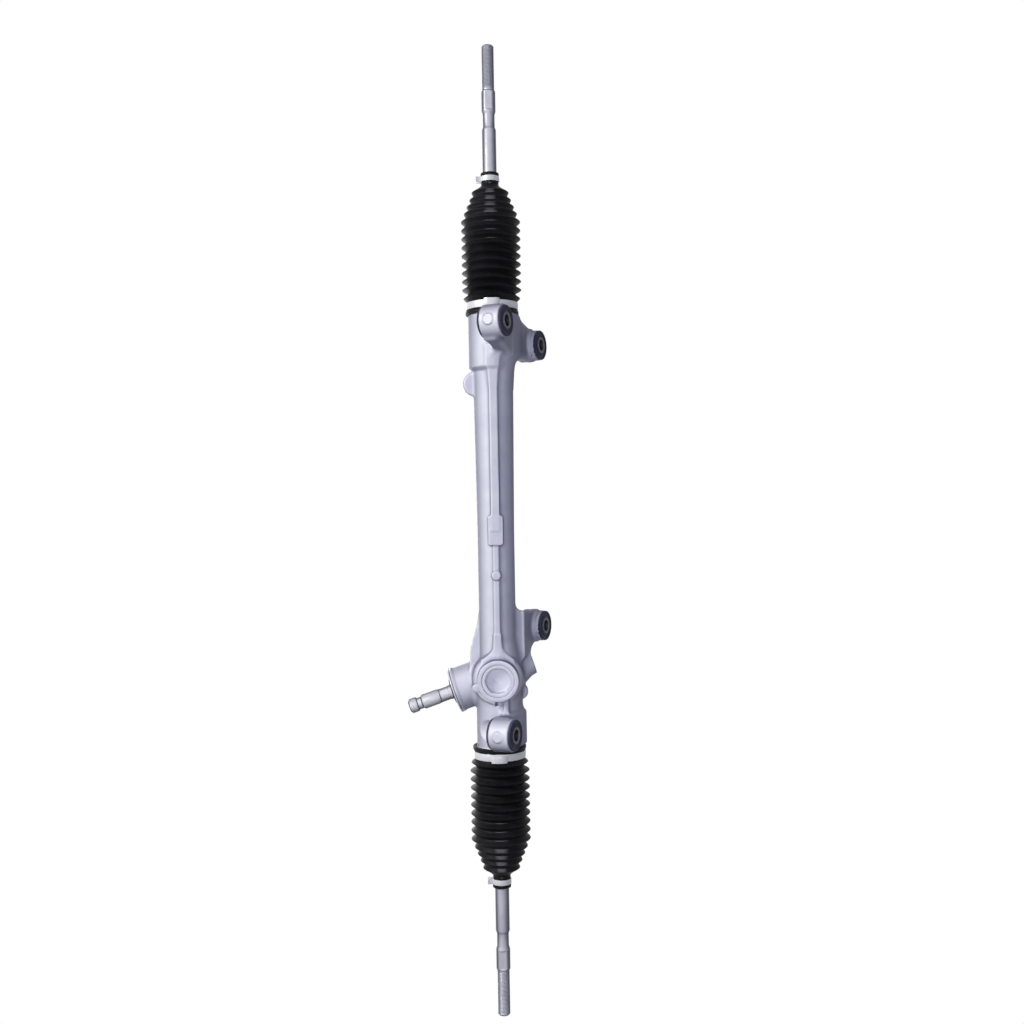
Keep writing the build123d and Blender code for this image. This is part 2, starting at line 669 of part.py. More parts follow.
def bearing_inner_race():
    return race(RACE_IN_R, BALL_PITCH_R - RACE_EDGE)


def bearing_balls():
    mid = (RACE[0] + RACE[1]) / 2
    balls = []
    for k in range(BEARING_BALLS):
        angle = 2 * pi * k / BEARING_BALLS
        at = Location((BALL_PITCH_R * cos(angle), BALL_PITCH_R * sin(angle), mid))
        balls.append((shaft_plane().location * at * Sphere(BEARING_BALL_R)).solid())
    return Compound(balls)


def bearing_cage():
    plane = shaft_plane()
    mid = (RACE[0] + RACE[1]) / 2
    half = BEARING_BALL_R + 1.2
    ring = rod(BALL_PITCH_R + CAGE_HALF_T, plane, mid - half, mid + half)
    ring -= rod(BALL_PITCH_R - CAGE_HALF_T, plane, mid - half, mid + half)
    pocket = Cylinder(BEARING_BALL_R + RUN_GAP, BALL_PITCH_R, align=(Align.CENTER,) * 2 + (Align.MIN,))
    pockets = []
    for k in range(BEARING_BALLS):
        out = Location((0, 0, mid), (0, 90, 0))
        turned = Location((0, 0, 0), (0, 0, 360 * k / BEARING_BALLS)) * out * Pos(0, 0, BALL_PITCH_R - 4)
        pockets.append(plane.location * turned * pocket)
    return ring - pockets


def pinion_snap_ring():
    plane = shaft_plane()
    span = (RACE[1], RACE[1] + SNAP_T)
    ring = rod(SNAP_R, plane, *span) - rod(SNAP_GROOVE_R, plane, *span)
    return ring - block(plane, (0, 20), (-2, 2), (span[0] - 1, span[1] + 1))


def pinion_needle_bearing():
    plane = shaft_plane()
    return rod(NEEDLE_R, plane, *NEEDLE) - rod(JOURNAL_R + RUN_GAP, plane, *NEEDLE)


def bearing_nut():
    plane = shaft_plane()
    body = rod(NUT_R, plane, RACE[1], NUT_END) - rod(NUT_IN_R, plane, RACE[1], NUT_END)
    for turn in range(6):
        slot = block(plane, (NUT_IN_R - 1, NUT_IN_R + 3), (-2, 2), (NUT_END - 4, NUT_END + 1))
        body -= slot.rotate(Axis(plane.origin, plane.z_dir), 60 * turn)
    return body


def pinion_seal():
    inside = SEAL_LAND_R + RUN_GAP
    top = FLANGE[1] - 1
    return spin(
        [
            (inside, NUT_END), (NUT_R, NUT_END), (NUT_R, top), (SEAL_R, top), (SEAL_R - 1.5, SEAL_END),
            (inside, SEAL_END),
        ],
        shaft_plane(),
    )


def main():
    os.makedirs("parts", exist_ok=True)
    nodes = {
        "rack_housing": housing(),
        "rack_bush": rack_bush(),
        "rack_bush_ring": rack_bush_ring(),
        "rack_yoke": rack_yoke(),
        "yoke_liner": yoke_liner(),
        "yoke_spring": yoke_spring(),
        "yoke_cap": yoke_cap(),
        "yoke_seal_ring": yoke_seal_ring(),
        "bearing_outer_race": bearing_outer_race(),
        "bearing_balls": bearing_balls(),
        "bearing_cage": bearing_cage(),
        "bearing_inner_race": bearing_inner_race(),
        "bearing_nut": bearing_nut(),
        "pinion_seal": pinion_seal(),
        "pinion_needle_bearing": pinion_needle_bearing(),
        "pinion_snap_ring": pinion_snap_ring(),
        "pinion_shaft": pinion_shaft(),
        "rack_bar": rack_bar(),
    }
    for tail, x, y, _, _ in EARS:
        nodes["mount_rubber_" + tail] = mount_rubber(x, y)
        nodes["mount_sleeve_" + tail] = mount_sleeve(x, y)
    for name, side in (("far", 1), ("pinion", -1)):
        nodes["socket_" + name] = socket(side)
        nodes["lock_washer_" + name] = lock_washer(side)
        nodes["ball_seat_" + name] = ball_seat(side)
        nodes["tie_rod_" + name] = tie_rod(side)
        nodes["bellows_" + name] = bellows(side)
        nodes["large_clamp_" + name] = large_clamp(side)
        nodes["small_clip_" + name] = small_clip(side)
    for name, shape in nodes.items():
        export_step(shape, "parts/" + name + ".step")


main()
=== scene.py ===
import bmesh
import bpy
import math
import numpy as np
from mathutils import Matrix, Vector


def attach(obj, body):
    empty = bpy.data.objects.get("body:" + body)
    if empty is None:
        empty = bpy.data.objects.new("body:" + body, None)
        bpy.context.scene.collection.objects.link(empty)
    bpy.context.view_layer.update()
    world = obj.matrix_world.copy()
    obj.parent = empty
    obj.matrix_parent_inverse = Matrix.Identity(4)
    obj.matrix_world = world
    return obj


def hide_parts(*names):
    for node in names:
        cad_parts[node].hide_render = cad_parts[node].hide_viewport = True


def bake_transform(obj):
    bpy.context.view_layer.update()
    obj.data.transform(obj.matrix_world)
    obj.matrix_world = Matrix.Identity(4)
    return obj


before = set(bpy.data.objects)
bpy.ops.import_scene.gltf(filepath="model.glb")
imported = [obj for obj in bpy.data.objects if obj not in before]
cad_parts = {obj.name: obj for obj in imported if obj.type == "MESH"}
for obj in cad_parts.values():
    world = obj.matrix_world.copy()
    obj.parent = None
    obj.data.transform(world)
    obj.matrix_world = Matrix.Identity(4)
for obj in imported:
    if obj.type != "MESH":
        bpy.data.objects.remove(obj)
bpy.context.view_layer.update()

mm = 0.001

# The frame of the steering rack: x along the rack, z along the mounting bolts.
# view points to the camera and along the yoke bore, left is the input shaft's side.
axisHeight = 0.041
tilt = math.radians(25)
shaftLean = math.radians(19)
along = np.array([1.0, 0.0, 0.0])
view = np.array([0.0, -math.cos(tilt), -math.sin(tilt)])
left = np.array([0.0, -math.sin(tilt), math.cos(tilt)])
shaftWay = math.cos(shaftLean) * left - math.sin(shaftLean) * along
crossX = -0.168
shaftBack = 0.0145556
centre = np.array([0.0, 0.0, axisHeight])
shaftFoot = np.array([crossX, 0.0, axisHeight]) - view * shaftBack
bothEnds = ((1, "far"), (-1, "pinion"))


# meshes
def basis(zWay, xWay):
    zWay = zWay / np.linalg.norm(zWay)
    xWay = xWay - zWay * np.dot(xWay, zWay)
    xWay = xWay / np.linalg.norm(xWay)
    return np.stack([xWay, np.cross(zWay, xWay), zWay])


def meshFrom(name, points, quads, body, material, smoothAngle=35, slot=None, stands=(), merge=False,
             outward=False):
    mesh = bpy.data.meshes.new(name)
    points = np.asarray(points, np.float32)
    quads = np.asarray(quads, np.int32)
    corners = quads.shape[1]
    mesh.vertices.add(len(points))
    mesh.vertices.foreach_set("co", points.ravel())
    mesh.loops.add(quads.size)
    mesh.loops.foreach_set("vertex_index", quads.ravel())
    mesh.polygons.add(len(quads))
    mesh.polygons.foreach_set("loop_start", np.arange(0, quads.size, corners, dtype=np.int32))
    mesh.polygons.foreach_set("use_smooth", np.ones(len(quads), bool))
    mesh.update(calc_edges=True)
    mesh.validate()
    if merge:
        whole = bmesh.new()
        whole.from_mesh(mesh)
        bmesh.ops.remove_doubles(whole, verts=whole.verts, dist=1e-6)
        if outward:
            bmesh.ops.recalc_face_normals(whole, faces=whole.faces)
        whole.to_mesh(mesh)
        whole.free()
    if smoothAngle is not None:
        mesh.set_sharp_from_angle(angle=math.radians(smoothAngle))
    piece = bpy.data.objects.new(name, mesh)
    bpy.context.scene.collection.objects.link(piece)
    mesh.materials.append(material)
    if stands:
        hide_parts(*stands)
    if body:
        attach(piece, body)
    return piece


def gridQuads(rows, cols, wrapRows, wrapCols):
    # one quad for each step along both parameters, joined end to start where asked
    i = np.arange(rows if wrapRows else rows - 1)
    j = np.arange(cols if wrapCols else cols - 1)
    i, j = np.meshgrid(i, j, indexing="ij")
    a = i * cols + j
    b = i * cols + (j + 1) % cols
    c = ((i + 1) % rows) * cols + (j + 1) % cols
    d = ((i + 1) % rows) * cols + j
    return np.stack([a, b, c, d], -1).reshape(-1, 4)


def turned(name, profile, foot, zWay, body, material, steps=64, shape=None, **rest):
    # an outline of (radius, place) in mm, turned once round an axis: x = r cos a, y = r sin a, z = place;
    # it is closed end to start, or through the axis where it begins and ends there; shape may change r
    profile = np.array(profile, float)
    open_ = profile[0, 0] == 0 and profile[-1, 0] == 0
    angle = np.linspace(0, 2 * np.pi, steps, endpoint=False)
    radius, place = profile[:, :1] + 0 * angle, profile[:, 1:] + 0 * angle
    if shape:
        radius = shape(radius, angle + 0 * radius, place)
    local = np.stack([radius * np.cos(angle), radius * np.sin(angle), place], -1)
    axes = basis(zWay, view if abs(np.dot(zWay, view)) < 0.9 else along)
    points = local.reshape(-1, 3) @ axes * mm + foot
    quads = gridQuads(len(profile), steps, not open_, True)
    ahead = np.roll(profile, -1, 0)
    if np.sum(profile[:, 0] * ahead[:, 1] - ahead[:, 0] * profile[:, 1]) < 0:
        quads = quads[:, ::-1]
    return meshFrom(name, points, quads, body, material, merge=open_, **rest)


def strip(name, path, section, foot, axes, body, material, **rest):
    # a ribbon along a path of (u, v) points in mm; its section is a closed outline of points, across the path
    # and along the axis, and both ends close on the section's middle
    path, section = np.array(path, float), np.array(section, float)
    way = np.gradient(path, axis=0)
    way /= np.linalg.norm(way, axis=1, keepdims=True)
    normal = np.stack([way[:, 1], -way[:, 0]], -1)
    path, normal = path[[0, *range(len(path)), -1]], normal[[0, *range(len(normal)), -1]]
    size = np.ones((len(path), 1, 1))
    size[0], size[-1] = 0, 0
    middle = section.mean(0)
    spot = middle + (section - middle) * size
    flat = path[:, None, :] + normal[:, None, :] * spot[..., :1]
    local = np.concatenate([flat, spot[..., 1:]], -1).reshape(-1, 3)
    points = local @ axes * mm + foot
    quads = gridQuads(len(path), len(section), False, True)
    return meshFrom(name, points, quads, body, material, merge=True, outward=True, **rest)


def rounded(corners, radius, steps=3):
    # each corner of a closed outline becomes a short arc, by a quadratic curve between two points near it
    corners = np.array(corners, float)
    before, after = np.roll(corners, 1, 0) - corners, np.roll(corners, -1, 0) - corners
    lenBefore = np.linalg.norm(before, axis=1, keepdims=True)
    lenAfter = np.linalg.norm(after, axis=1, keepdims=True)
    cut = np.minimum(radius, 0.45 * np.minimum(lenBefore, lenAfter))
    start, end = corners + before / lenBefore * cut, corners + after / lenAfter * cut
    t = np.linspace(0, 1, steps + 1)[None, :, None]
    bent = (1 - t) ** 2 * start[:, None] + 2 * t * (1 - t) * corners[:, None] + t**2 * end[:, None]
    return bent.reshape(-1, 2)


def ringOutline(inner, outer, a, b, bevel, steps=3):
    return rounded([(inner, a), (outer, a), (outer, b), (inner, b)], bevel, steps)


# materials
def newNode(tree, kind, inputs, **settings):
    # each input takes a value or the output of another node
    node = tree.nodes.new("ShaderNode" + kind)
    for label, value in settings.items():
        setattr(node, label, value)
    for label, value in inputs.items():
        socket = node.inputs[label]
        if isinstance(value, bpy.types.NodeSocket):
            tree.links.new(value, socket)
        else:
            socket.default_value = (*value, 1) if socket.type == "RGBA" else value
    return node


def mathNode(tree, operation, first, second):
    return newNode(tree, "Math", {0: first, 1: second}, operation=operation).outputs[0]


def colourMix(tree, mask, low, high):
    return newNode(tree, "Mix", {"Factor": mask, "A": low, "B": high}, data_type="RGBA").outputs["Result"]


def spread(tree, mask, low, high, toLow=0.0, toHigh=1.0):
    values = {"Value": mask, "From Min": low, "From Max": high, "To Min": toLow, "To Max": toHigh}
    return newNode(tree, "MapRange", values).outputs["Result"]


def turning(tree, low, high):
    # 0 to 1 between two values of the layer weight, which is 0 where the form faces the viewer
    return spread(tree, newNode(tree, "LayerWeight", {}).outputs["Facing"], low, high)


def nodeGroup(name, scale, outputs):
    # the one scale that differs between materials is the group's input
    group = bpy.data.node_groups.new(name, "ShaderNodeTree")
    group.interface.new_socket(scale, in_out="INPUT", socket_type="NodeSocketFloat")
    for label in outputs:
        group.interface.new_socket(label, in_out="OUTPUT", socket_type="NodeSocketFloat")
    start, end = group.nodes.new("NodeGroupInput"), group.nodes.new("NodeGroupOutput")
    return group, start.outputs, end.inputs


def castGroup():
    # sand-cast skin: coarse mottling, fine grain and rare pits, from the place on the object
    group, start, end = nodeGroup("castSkin", "Grain scale", ("Height", "Mottle"))
    place = newNode(group, "TexCoord", {}).outputs["Object"]
    grain = newNode(group, "TexNoise", {"Vector": place, "Scale": start["Grain scale"], "Detail": 4.0})
    mottle = newNode(group, "TexNoise", {"Vector": place, "Scale": 45.0, "Detail": 3.0})
    cells = newNode(group, "TexVoronoi", {"Vector": place, "Scale": 260.0})
    pits = mathNode(group, "LESS_THAN", cells.outputs["Distance"], 0.16)
    depth = mathNode(group, "MULTIPLY", pits, 0.35)
    group.links.new(mathNode(group, "SUBTRACT", grain.outputs["Fac"], depth), end["Height"])
    group.links.new(mottle.outputs["Fac"], end["Mottle"])
    return group


def turnedGroup():
    # fine rings that a lathe leaves, along one axis given by the mapping in the material
    group, start, end = nodeGroup("latheMarks", "Ring scale", ("Height", "Spots"))
    group.interface.new_socket("Vector", in_out="INPUT", socket_type="NodeSocketVector")
    split = newNode(group, "SeparateXYZ", {0: start["Vector"]})
    rings = newNode(group, "TexNoise", {"W": split.outputs["X"], "Scale": start["Ring scale"]},
                    noise_dimensions="1D")
    spots = newNode(group, "TexNoise", {"Vector": start["Vector"], "Scale": 90.0, "Detail": 4.0})
    group.links.new(rings.outputs["Fac"], end["Height"])
    group.links.new(spots.outputs["Fac"], end["Spots"])
    return group


def newMaterial(name, **shader):
    material = bpy.data.materials.new(name)
    material.use_nodes = True
    surface = material.node_tree.nodes["Principled BSDF"]
    for label, value in shader.items():
        surface.inputs[label.replace("_", " ")].default_value = value
    return material, material.node_tree, surface.inputs


def dress(tree, surface, look, tint, roughMask, height, distance):
    # the colour, a roughness that follows a mask, and a bump of the given height in m
    tree.links.new(tint, surface["Base Color"])
    tree.links.new(spread(tree, *roughMask, *look["rough"]), surface["Roughness"])
    bump = newNode(tree, "Bump", {"Strength": look["bump"], "Distance": distance, "Height": height})
    tree.links.new(bump.outputs["Normal"], surface["Normal"])


castSkin, latheMarks = castGroup(), turnedGroup()


def castMetal(name, look):
    material, tree, surface = newMaterial(name, Metallic=look["metallic"], Specular_IOR_Level=look["shine"])
    skin = newNode(tree, "Group", {"Grain scale": look["grainScale"]}, node_tree=castSkin).outputs
    base = colourMix(tree, spread(tree, skin["Mottle"], 0.35, 0.65), look["dark"], look["light"])
    # the mesh's edge mask paints outer edges lighter and hollows darker; the darker hollows are painted shade
    edge = newNode(tree, "Attribute", {}, attribute_name="edge").outputs["Fac"]
    # outer edges are painted lighter along the edge mask
    lighterEdge = colourMix(tree, spread(tree, edge, 0.55, 0.95), base, look["lighterEdge"])
    # painted shade: hollows darkened towards a slate blue along the edge mask
    withPaintedHollowShade = colourMix(tree, spread(tree, edge, 0.45, 0.1), lighterEdge, look["hollow"])
    # painted shade: the colour dims where the form turns away from the viewer, as bare metal does when it
    # reflects a dim room
    tint = colourMix(tree, turning(tree, 0.1, look["reach"]), withPaintedHollowShade, look["away"])
    dress(tree, surface, look, tint, (skin["Height"], 0.2, 0.8), skin["Height"], 0.0006)
    return material


def turnedMetal(name, look, way=(1, 0, 0)):
    material, tree, surface = newMaterial(name, Metallic=look["metallic"], Specular_IOR_Level=0.3)
    place = newNode(tree, "TexCoord", {}).outputs["Object"]
    turn = Vector(way).rotation_difference(Vector((1, 0, 0))).to_euler()
    place = newNode(tree, "Mapping", {"Vector": place, "Rotation": turn}).outputs["Vector"]
    inputs = {"Ring scale": look["rings"], "Vector": place}
    marks = newNode(tree, "Group", inputs, node_tree=latheMarks).outputs
    tint = colourMix(tree, spread(tree, marks["Spots"], 0.35, 0.7), look["light"], look["dark"])
    # painted shade: the colour dims where the form turns away from the viewer, as bare metal does when it
    # reflects a dim room
    away = turning(tree, 0.1, look.get("reach", 0.6))
    tint = colourMix(tree, away, tint, look.get("away", look["dark"]))
    dress(tree, surface, look, tint, (marks["Spots"], 0.3, 0.7), marks["Height"], 0.0002)
    return material


def softMaterial(name, look):
    material, tree, surface = newMaterial(name, Specular_IOR_Level=look["shine"])
    skin = newNode(tree, "Group", {"Grain scale": look["grainScale"]}, node_tree=castSkin).outputs
    tint = colourMix(tree, spread(tree, skin["Mottle"], 0.35, 0.7), look["dark"], look["light"])
    if "paintedSheen" in look:
        # painted highlight: a thin pale line where a fold faces the viewer, standing in for a lamp's
        # highlight
        tint = colourMix(tree, turning(tree, 0.045, 0.01), tint, look["paintedSheen"])
    dress(tree, surface, look, tint, (skin["Mottle"], 0.3, 0.7), skin["Height"], 0.0003)
    return material


castAluminium = castMetal("castAluminium", {
    "dark": (0.76, 0.765, 0.86), "light": (0.84, 0.845, 0.915), "lighterEdge": (0.95, 0.95, 0.99),
    "hollow": (0.38, 0.38, 0.52), "away": (0.19, 0.20, 0.29), "reach": 0.85, "metallic": 0.1,
    "grainScale": 1400, "rough": (0.46, 0.6), "bump": 0.25, "shine": 0.25,
})
machined = turnedMetal("machinedAluminium", {
    "light": (0.82, 0.82, 0.88), "dark": (0.70, 0.70, 0.79), "metallic": 0.25, "rings": 2500,
    "rough": (0.28, 0.4), "bump": 0.12,
}, tuple(view))
rodSteel = turnedMetal("rodSteel", {
    "light": (0.79, 0.79, 0.83), "dark": (0.70, 0.70, 0.75), "away": (0.11, 0.11, 0.16), "reach": 0.45,
    "metallic": 0.12, "rings": 2200, "rough": (0.3, 0.42), "bump": 0.08,
})
shaftSteel = turnedMetal("shaftSteel", {
    "light": (0.93, 0.93, 0.95), "dark": (0.84, 0.84, 0.88), "away": (0.04, 0.04, 0.06), "reach": 0.5,
    "metallic": 0.15, "rings": 2400, "rough": (0.3, 0.4), "bump": 0.07,
}, tuple(shaftWay))
groundSteel = turnedMetal("groundSteel", {
    "light": (0.58, 0.58, 0.60), "dark": (0.45, 0.45, 0.48), "metallic": 0.95, "rings": 3000,
    "rough": (0.18, 0.3), "bump": 0.08,
})
darkSteel = turnedMetal("darkSteel", {
    "light": (0.16, 0.16, 0.18), "dark": (0.08, 0.08, 0.10), "metallic": 0.85, "rings": 1500,
    "rough": (0.35, 0.5), "bump": 0.15,
})
clampSteel = turnedMetal("clampSteel", {
    "light": (0.88, 0.88, 0.90), "dark": (0.82, 0.82, 0.85), "metallic": 0.25, "rings": 1800,
    "rough": (0.3, 0.36), "bump": 0.08,
})
bronze = turnedMetal("bronze", {
    "light": (0.55, 0.40, 0.20), "dark": (0.40, 0.28, 0.14), "metallic": 0.9, "rings": 1500,
    "rough": (0.3, 0.45), "bump": 0.1,
})
bellowsRubber = softMaterial("bellowsRubber", {
    "dark": (0.007, 0.007, 0.008), "light": (0.016, 0.015, 0.018), "rough": (0.46, 0.56),
    "grainScale": 1800, "bump": 0.08, "shine": 0.1, "paintedSheen": (0.15, 0.145, 0.15),
})
bushRubber = softMaterial("bushRubber", {
    "dark": (0.048, 0.052, 0.085), "light": (0.090, 0.097, 0.155), "rough": (0.5, 0.7), "grainScale": 1500,
    "bump": 0.3, "shine": 0.15,
})
sealRubber = softMaterial("sealRubber", {
    "dark": (0.03, 0.03, 0.035), "light": (0.06, 0.06, 0.065), "rough": (0.45, 0.6), "grainScale": 1200,
    "bump": 0.2, "shine": 0.4,
})
seatResin = softMaterial("seatResin", {
    "dark": (0.62, 0.60, 0.52), "light": (0.75, 0.73, 0.65), "rough": (0.35, 0.5), "grainScale": 700,
    "bump": 0.1, "shine": 0.5,
})
print("materials made")


# the casting, in mm: a span is (from, to), an outline is (places, values), slope scales a field down where it
# is steep; x runs along the rack, side to the input shaft's side, out to the camera
casting = {
    "voxel": 1.25, "low": (-264, -66.5, 1), "high": (264, 66.5, 106), "smoothAngle": 50, "armFillet": 9,
}
tube = {
    "half": 262, "seat": 26.5, "seatStart": 246.5, "step": 0.1, "neck": 25.5, "neckEnd": 200, "waist": 27,
    "waistStart": 190, "waistEnd": (150, 124), "leftWaistEnd": (154, 146), "leftBlend": 8, "tube": 21,
    "tubeFar": 23, "collar": 27.5, "collarStep": (182, 186), "collarBlend": 22,
    "taper": ((160, 182, 204), (0, 1.4, 4.5)), "taperSide": -2, "taperBlend": 12,
}
# for each ear: the bolt's place, the arm's span at the tube and at the boss, the rounding of its lower edge,
# and the reach from the rack's axis at which the arm begins
ears = {
    "far_front": ((230.9, -46.5), (197.5, 245), (207, 246), 6, -10),
    "far_rear": ((215.3, 46.5), (197.5, 243), (197.8, 235.4), 6, -10),
    "pinion_rear": ((-113.1, 46.5), (-146, -93), (-130.6, -95.6), 2.5, 8),
    "pinion_front": ((-225.7, -41), (-244, -206), (-243.2, -208.2), 2.5, -10),
}
# the broad arm runs past its boss
arm = {
    "broad": "far_front", "from": 14, "short": 20, "slope": 0.9, "past": 4, "edges": (0.5, 3), "join": 2,
    "span": (11, 26), "softEdge": 2.5,
}
boss = {
    "radius": 18.5, "rubber": 16, "span": (3, 27), "edge": 2, "fillet": 4, "broadFillet": 6,
    "band": ((10, 11.2, 17.4, 18.6), (-1, 0, 0, -0.7)), "faceCut": (2.8, 27.2), "cutMargin": 1, "mark": 6,
    "markHeight": 15, "markSpan": (-19.1, -16), "markEdge": 0.5, "markFillet": 0.8,
}
tower = {
    "span": (-43, 54), "outline": ((-43, -36, -16, 47.5, 50, 54), (13, 14.5, 25.05, 25.05, 26.2, 26.2)),
    "slope": 0.95, "edge": 0.8, "fillet": 6,
    "bores": ((11.5, -20, 30), (8, -34, -18), (18.6, 24, 40), (19.6, 36, 60)),
}
web = {"outline": ((-22, 8, 34, 73.5, 90), (8, 33, 31, 20, 6)), "span": (-22, 84), "out": (-14, 4),
       "slope": 0.9, "edge": 2.5, "foot": 1, "fillet": 3.5}
# half width, span along the rack and span outwards
spine = {
    "far": (5, (0, 206), (12, 25.5)), "near": (3.5, (-150, 0), (12, 23.5)), "edge": 1.6, "fillet": 3,
    "growth": ((160, 184), (0, 6)), "pad": (8.5, (-17, 17), (12, 25.2)), "padCorner": 3,
    "bump": (5.3, -51, (12, 25.5)), "markEdge": 1.2, "markFillet": 1.5,
}
lug = {
    "at": (168, 20.7), "radius": 14, "foot": (154, 182), "out": (-7, 7), "edge": 3, "fillet": 4,
}
yokeForm = {
    "outline": ((0, 21, 24, 25.5, 40), (30, 28.5, 26, 23, 23)), "slope": 0.8, "top": 40, "edge": 1,
    "fillet": 3.5, "flare": ((0, 22, 26, 30, 35, 50), (16, 18, 12, 7.5, 4.6, 3.6)), "flareTop": 23.5,
    "flareEnd": 50, "flareFillet": 4, "softEdge": 1.6, "rib": ((-46, 0), (-11.5, -5.5)), "ribTop": 29.5,
    "ribFillet": 3, "screw": (-9, 25, 4.5), "screwTop": 27.5, "screwEdge": 1.2, "screwFillet": 2,
    "bores": ((16.1, 0), (18.6, 28.5)), "slit": (-25.5, 2), "slitHalf": (4.5, 1.4), "slitFloor": 22.5,
}
# the low boss on the right: a round end, and two plates as spans along the rack and across
lowBoss = {
    "round": (-18.5, -26, 8), "plates": (((-26.5, -10.5), (-26, -6)), ((-40, -18), (-27, -6))),
    "out": (-16, 0), "edge": 2, "fillet": 4,
}
ledge = {"radius": 28, "top": 27, "edge": 1, "end": -7, "side": -5, "corner": 2, "fillet": 2}
mouth = {"bore": 17, "radius": 20, "start": 210}


def softUnion(a, b, k):
    # two distances joined with a fillet of about k: the smaller one, less a hump where they are alike
    h = np.clip(0.5 + 0.5 * (b - a) / k, 0, 1)
    return b + (a - b) * h - k * h * (1 - h)


def softMax(a, b, k):
    return -softUnion(-a, -b, k)


def slab(value, low, high):
    return np.maximum(low - value, value - high)


def tubeField(x, radial, side):
    c = tube
    low, high = c["seatStart"] - c["step"], c["seatStart"] + c["step"]
    parts = "seat seat neck neck waist waist tube tube tubeFar collar collar seat seat"
    radii = [c[part] for part in parts.split()]

    def girthTo(waistEnd):
        a, b = waistEnd
        places = [-c["half"], -high, -low, -c["neckEnd"], -c["waistStart"], -a, -b, 0, *c["collarStep"],
                  low, high, c["half"]]
        return np.interp(x, places, radii)
    # the pinion end's wider waist starts lower on the left, behind the yoke boss
    girth = girthTo(c["waistEnd"])
    girth += (girthTo(c["leftWaistEnd"]) - girth) * np.clip(side / c["leftBlend"], 0, 1)
    # on the right the far collar runs out into the tube with a long taper
    turn = np.clip((c["taperSide"] - side) / c["taperBlend"], 0, 1)
    tapered = girth + (c["tubeFar"] + np.interp(x, *c["taper"]) - girth) * turn
    girth = np.where(np.abs(x - c["collarStep"][0]) < c["collarBlend"], tapered, girth)
    return np.maximum(radial - girth, np.abs(x) - c["half"])


def armsField(x, y, z):
    c = arm
    arms = np.full(len(x), 1e3, x.dtype)
    for name, ((_, ey), (rootLow, rootHigh), (low, high), edge, start) in ears.items():
        broad = name == c["broad"]
        reach = y if ey > 0 else -y
        share = (reach - c["from"]) / (abs(ey) - c["short"])
        near = np.clip(share, 0, 1)
        beyond = np.maximum(share, 0) if broad else near
        field = np.maximum(rootLow + (low - rootLow) * beyond - x, x - rootHigh - (high - rootHigh) * near)
        field = softMax(field * c["slope"], reach - abs(ey) - c["past"] * broad, c["edges"][broad])
        field = softMax(softMax(field, c["span"][0] - z, edge), z - c["span"][1], c["softEdge"])
        arms = softUnion(arms, np.maximum(field, start - reach), c["join"])
    return arms


def addBosses(body, x, y, z):
    c = boss
    for name, ((ex, ey), *_) in ears.items():
        radius = c["radius"] + (np.interp(z, *c["band"]) if ey > 0 else 0)
        field = softMax(np.hypot(x - ex, y - ey) - radius, slab(z, *c["span"]), c["edge"])
        body = softUnion(body, field, c["broadFillet"] if name == arm["broad"] else c["fillet"])
        if ey < 0:
            low, high = c["markSpan"]
            mark = np.hypot(x - ex, z - c["markHeight"]) - c["mark"]
            mark = softMax(mark, slab(y, ey + low, ey + high), c["markEdge"])
            body = softUnion(body, mark, c["markFillet"])
    return body


def addSpine(body, x, side, out):
    # the spine in two widths, with a fillet that grows towards the far collar, then its pad and its bump
    c = spine

    def bar(half, span, outwards):
        return np.maximum(softMax(slab(side, -half, half), slab(out, *outwards), c["edge"]), slab(x, *span))
    body = softUnion(body, bar(*c["far"]), c["fillet"] + np.interp(x, *c["growth"]))
    body = softUnion(body, bar(*c["near"]), c["fillet"])
    half, span, outwards = c["pad"]
    pad = softMax(slab(side, -half, half), slab(x, *span), c["padCorner"])
    body = softUnion(body, softMax(pad, slab(out, *outwards), c["markEdge"]), c["markFillet"])
    radius, place, outwards = c["bump"]
    bump = softMax(np.hypot(x - place, side) - radius, slab(out, *outwards), c["markEdge"])
    return softUnion(body, bump, c["markFillet"])


def addLug(body, x, side, out):
    c = lug
    ax, aside = c["at"]
    outwards = slab(out, *c["out"])
    head = softMax(np.hypot(x - ax, side - aside) - c["radius"], outwards, c["edge"])
    foot = softMax(np.maximum(slab(x, *c["foot"]), slab(side, 0.0, aside)), outwards, c["edge"])
    return softUnion(body, np.minimum(head, foot), c["fillet"])


def addYokeBoss(body, cx, side, out):
    # the boss with its foot, the flare of the spine, the rib below it and the lock screw's boss
    c = yokeForm
    yoke = (np.hypot(cx, side) - np.interp(out, *c["outline"])) * c["slope"]
    yoke = softMax(yoke, slab(out, 0, c["top"]), c["edge"])
    flare = softMax(np.abs(side) - np.interp(cx, *c["flare"]), out - c["flareTop"], c["softEdge"])
    flare = np.maximum(flare, np.maximum(slab(cx, 0.0, c["flareEnd"]), -out))
    span, across = c["rib"]
    rib = softMax(slab(side, *across), slab(out, 0, c["ribTop"]), c["softEdge"])
    rib = np.maximum(rib, slab(cx, *span))
    place, sideways, radius = c["screw"]
    screw = np.hypot(cx - place, side - sideways) - radius
    screw = softMax(screw, slab(out, 0, c["screwTop"]), c["screwEdge"])
    body = softUnion(softUnion(body, yoke, c["fillet"]), flare, c["flareFillet"])
    return softUnion(softUnion(body, rib, c["ribFillet"]), screw, c["screwFillet"])


def addLowForms(body, cx, side, out):
    c = lowBoss
    place, sideways, radius = c["round"]
    lower = np.hypot(cx - place, side - sideways) - radius
    for span, across in c["plates"]:
        lower = np.minimum(lower, np.maximum(slab(cx, *span), slab(side, *across)))
    body = softUnion(body, softMax(lower, slab(out, *c["out"]), c["edge"]), c["fillet"])
    # ledge below the yoke boss, on its left
    c = ledge
    step = softMax(np.hypot(cx, side) - c["radius"], slab(out, 0, c["top"]), c["edge"])
    step = softMax(step, np.maximum(cx - c["end"], c["side"] - side), c["corner"])
    return softUnion(body, step, c["fillet"])


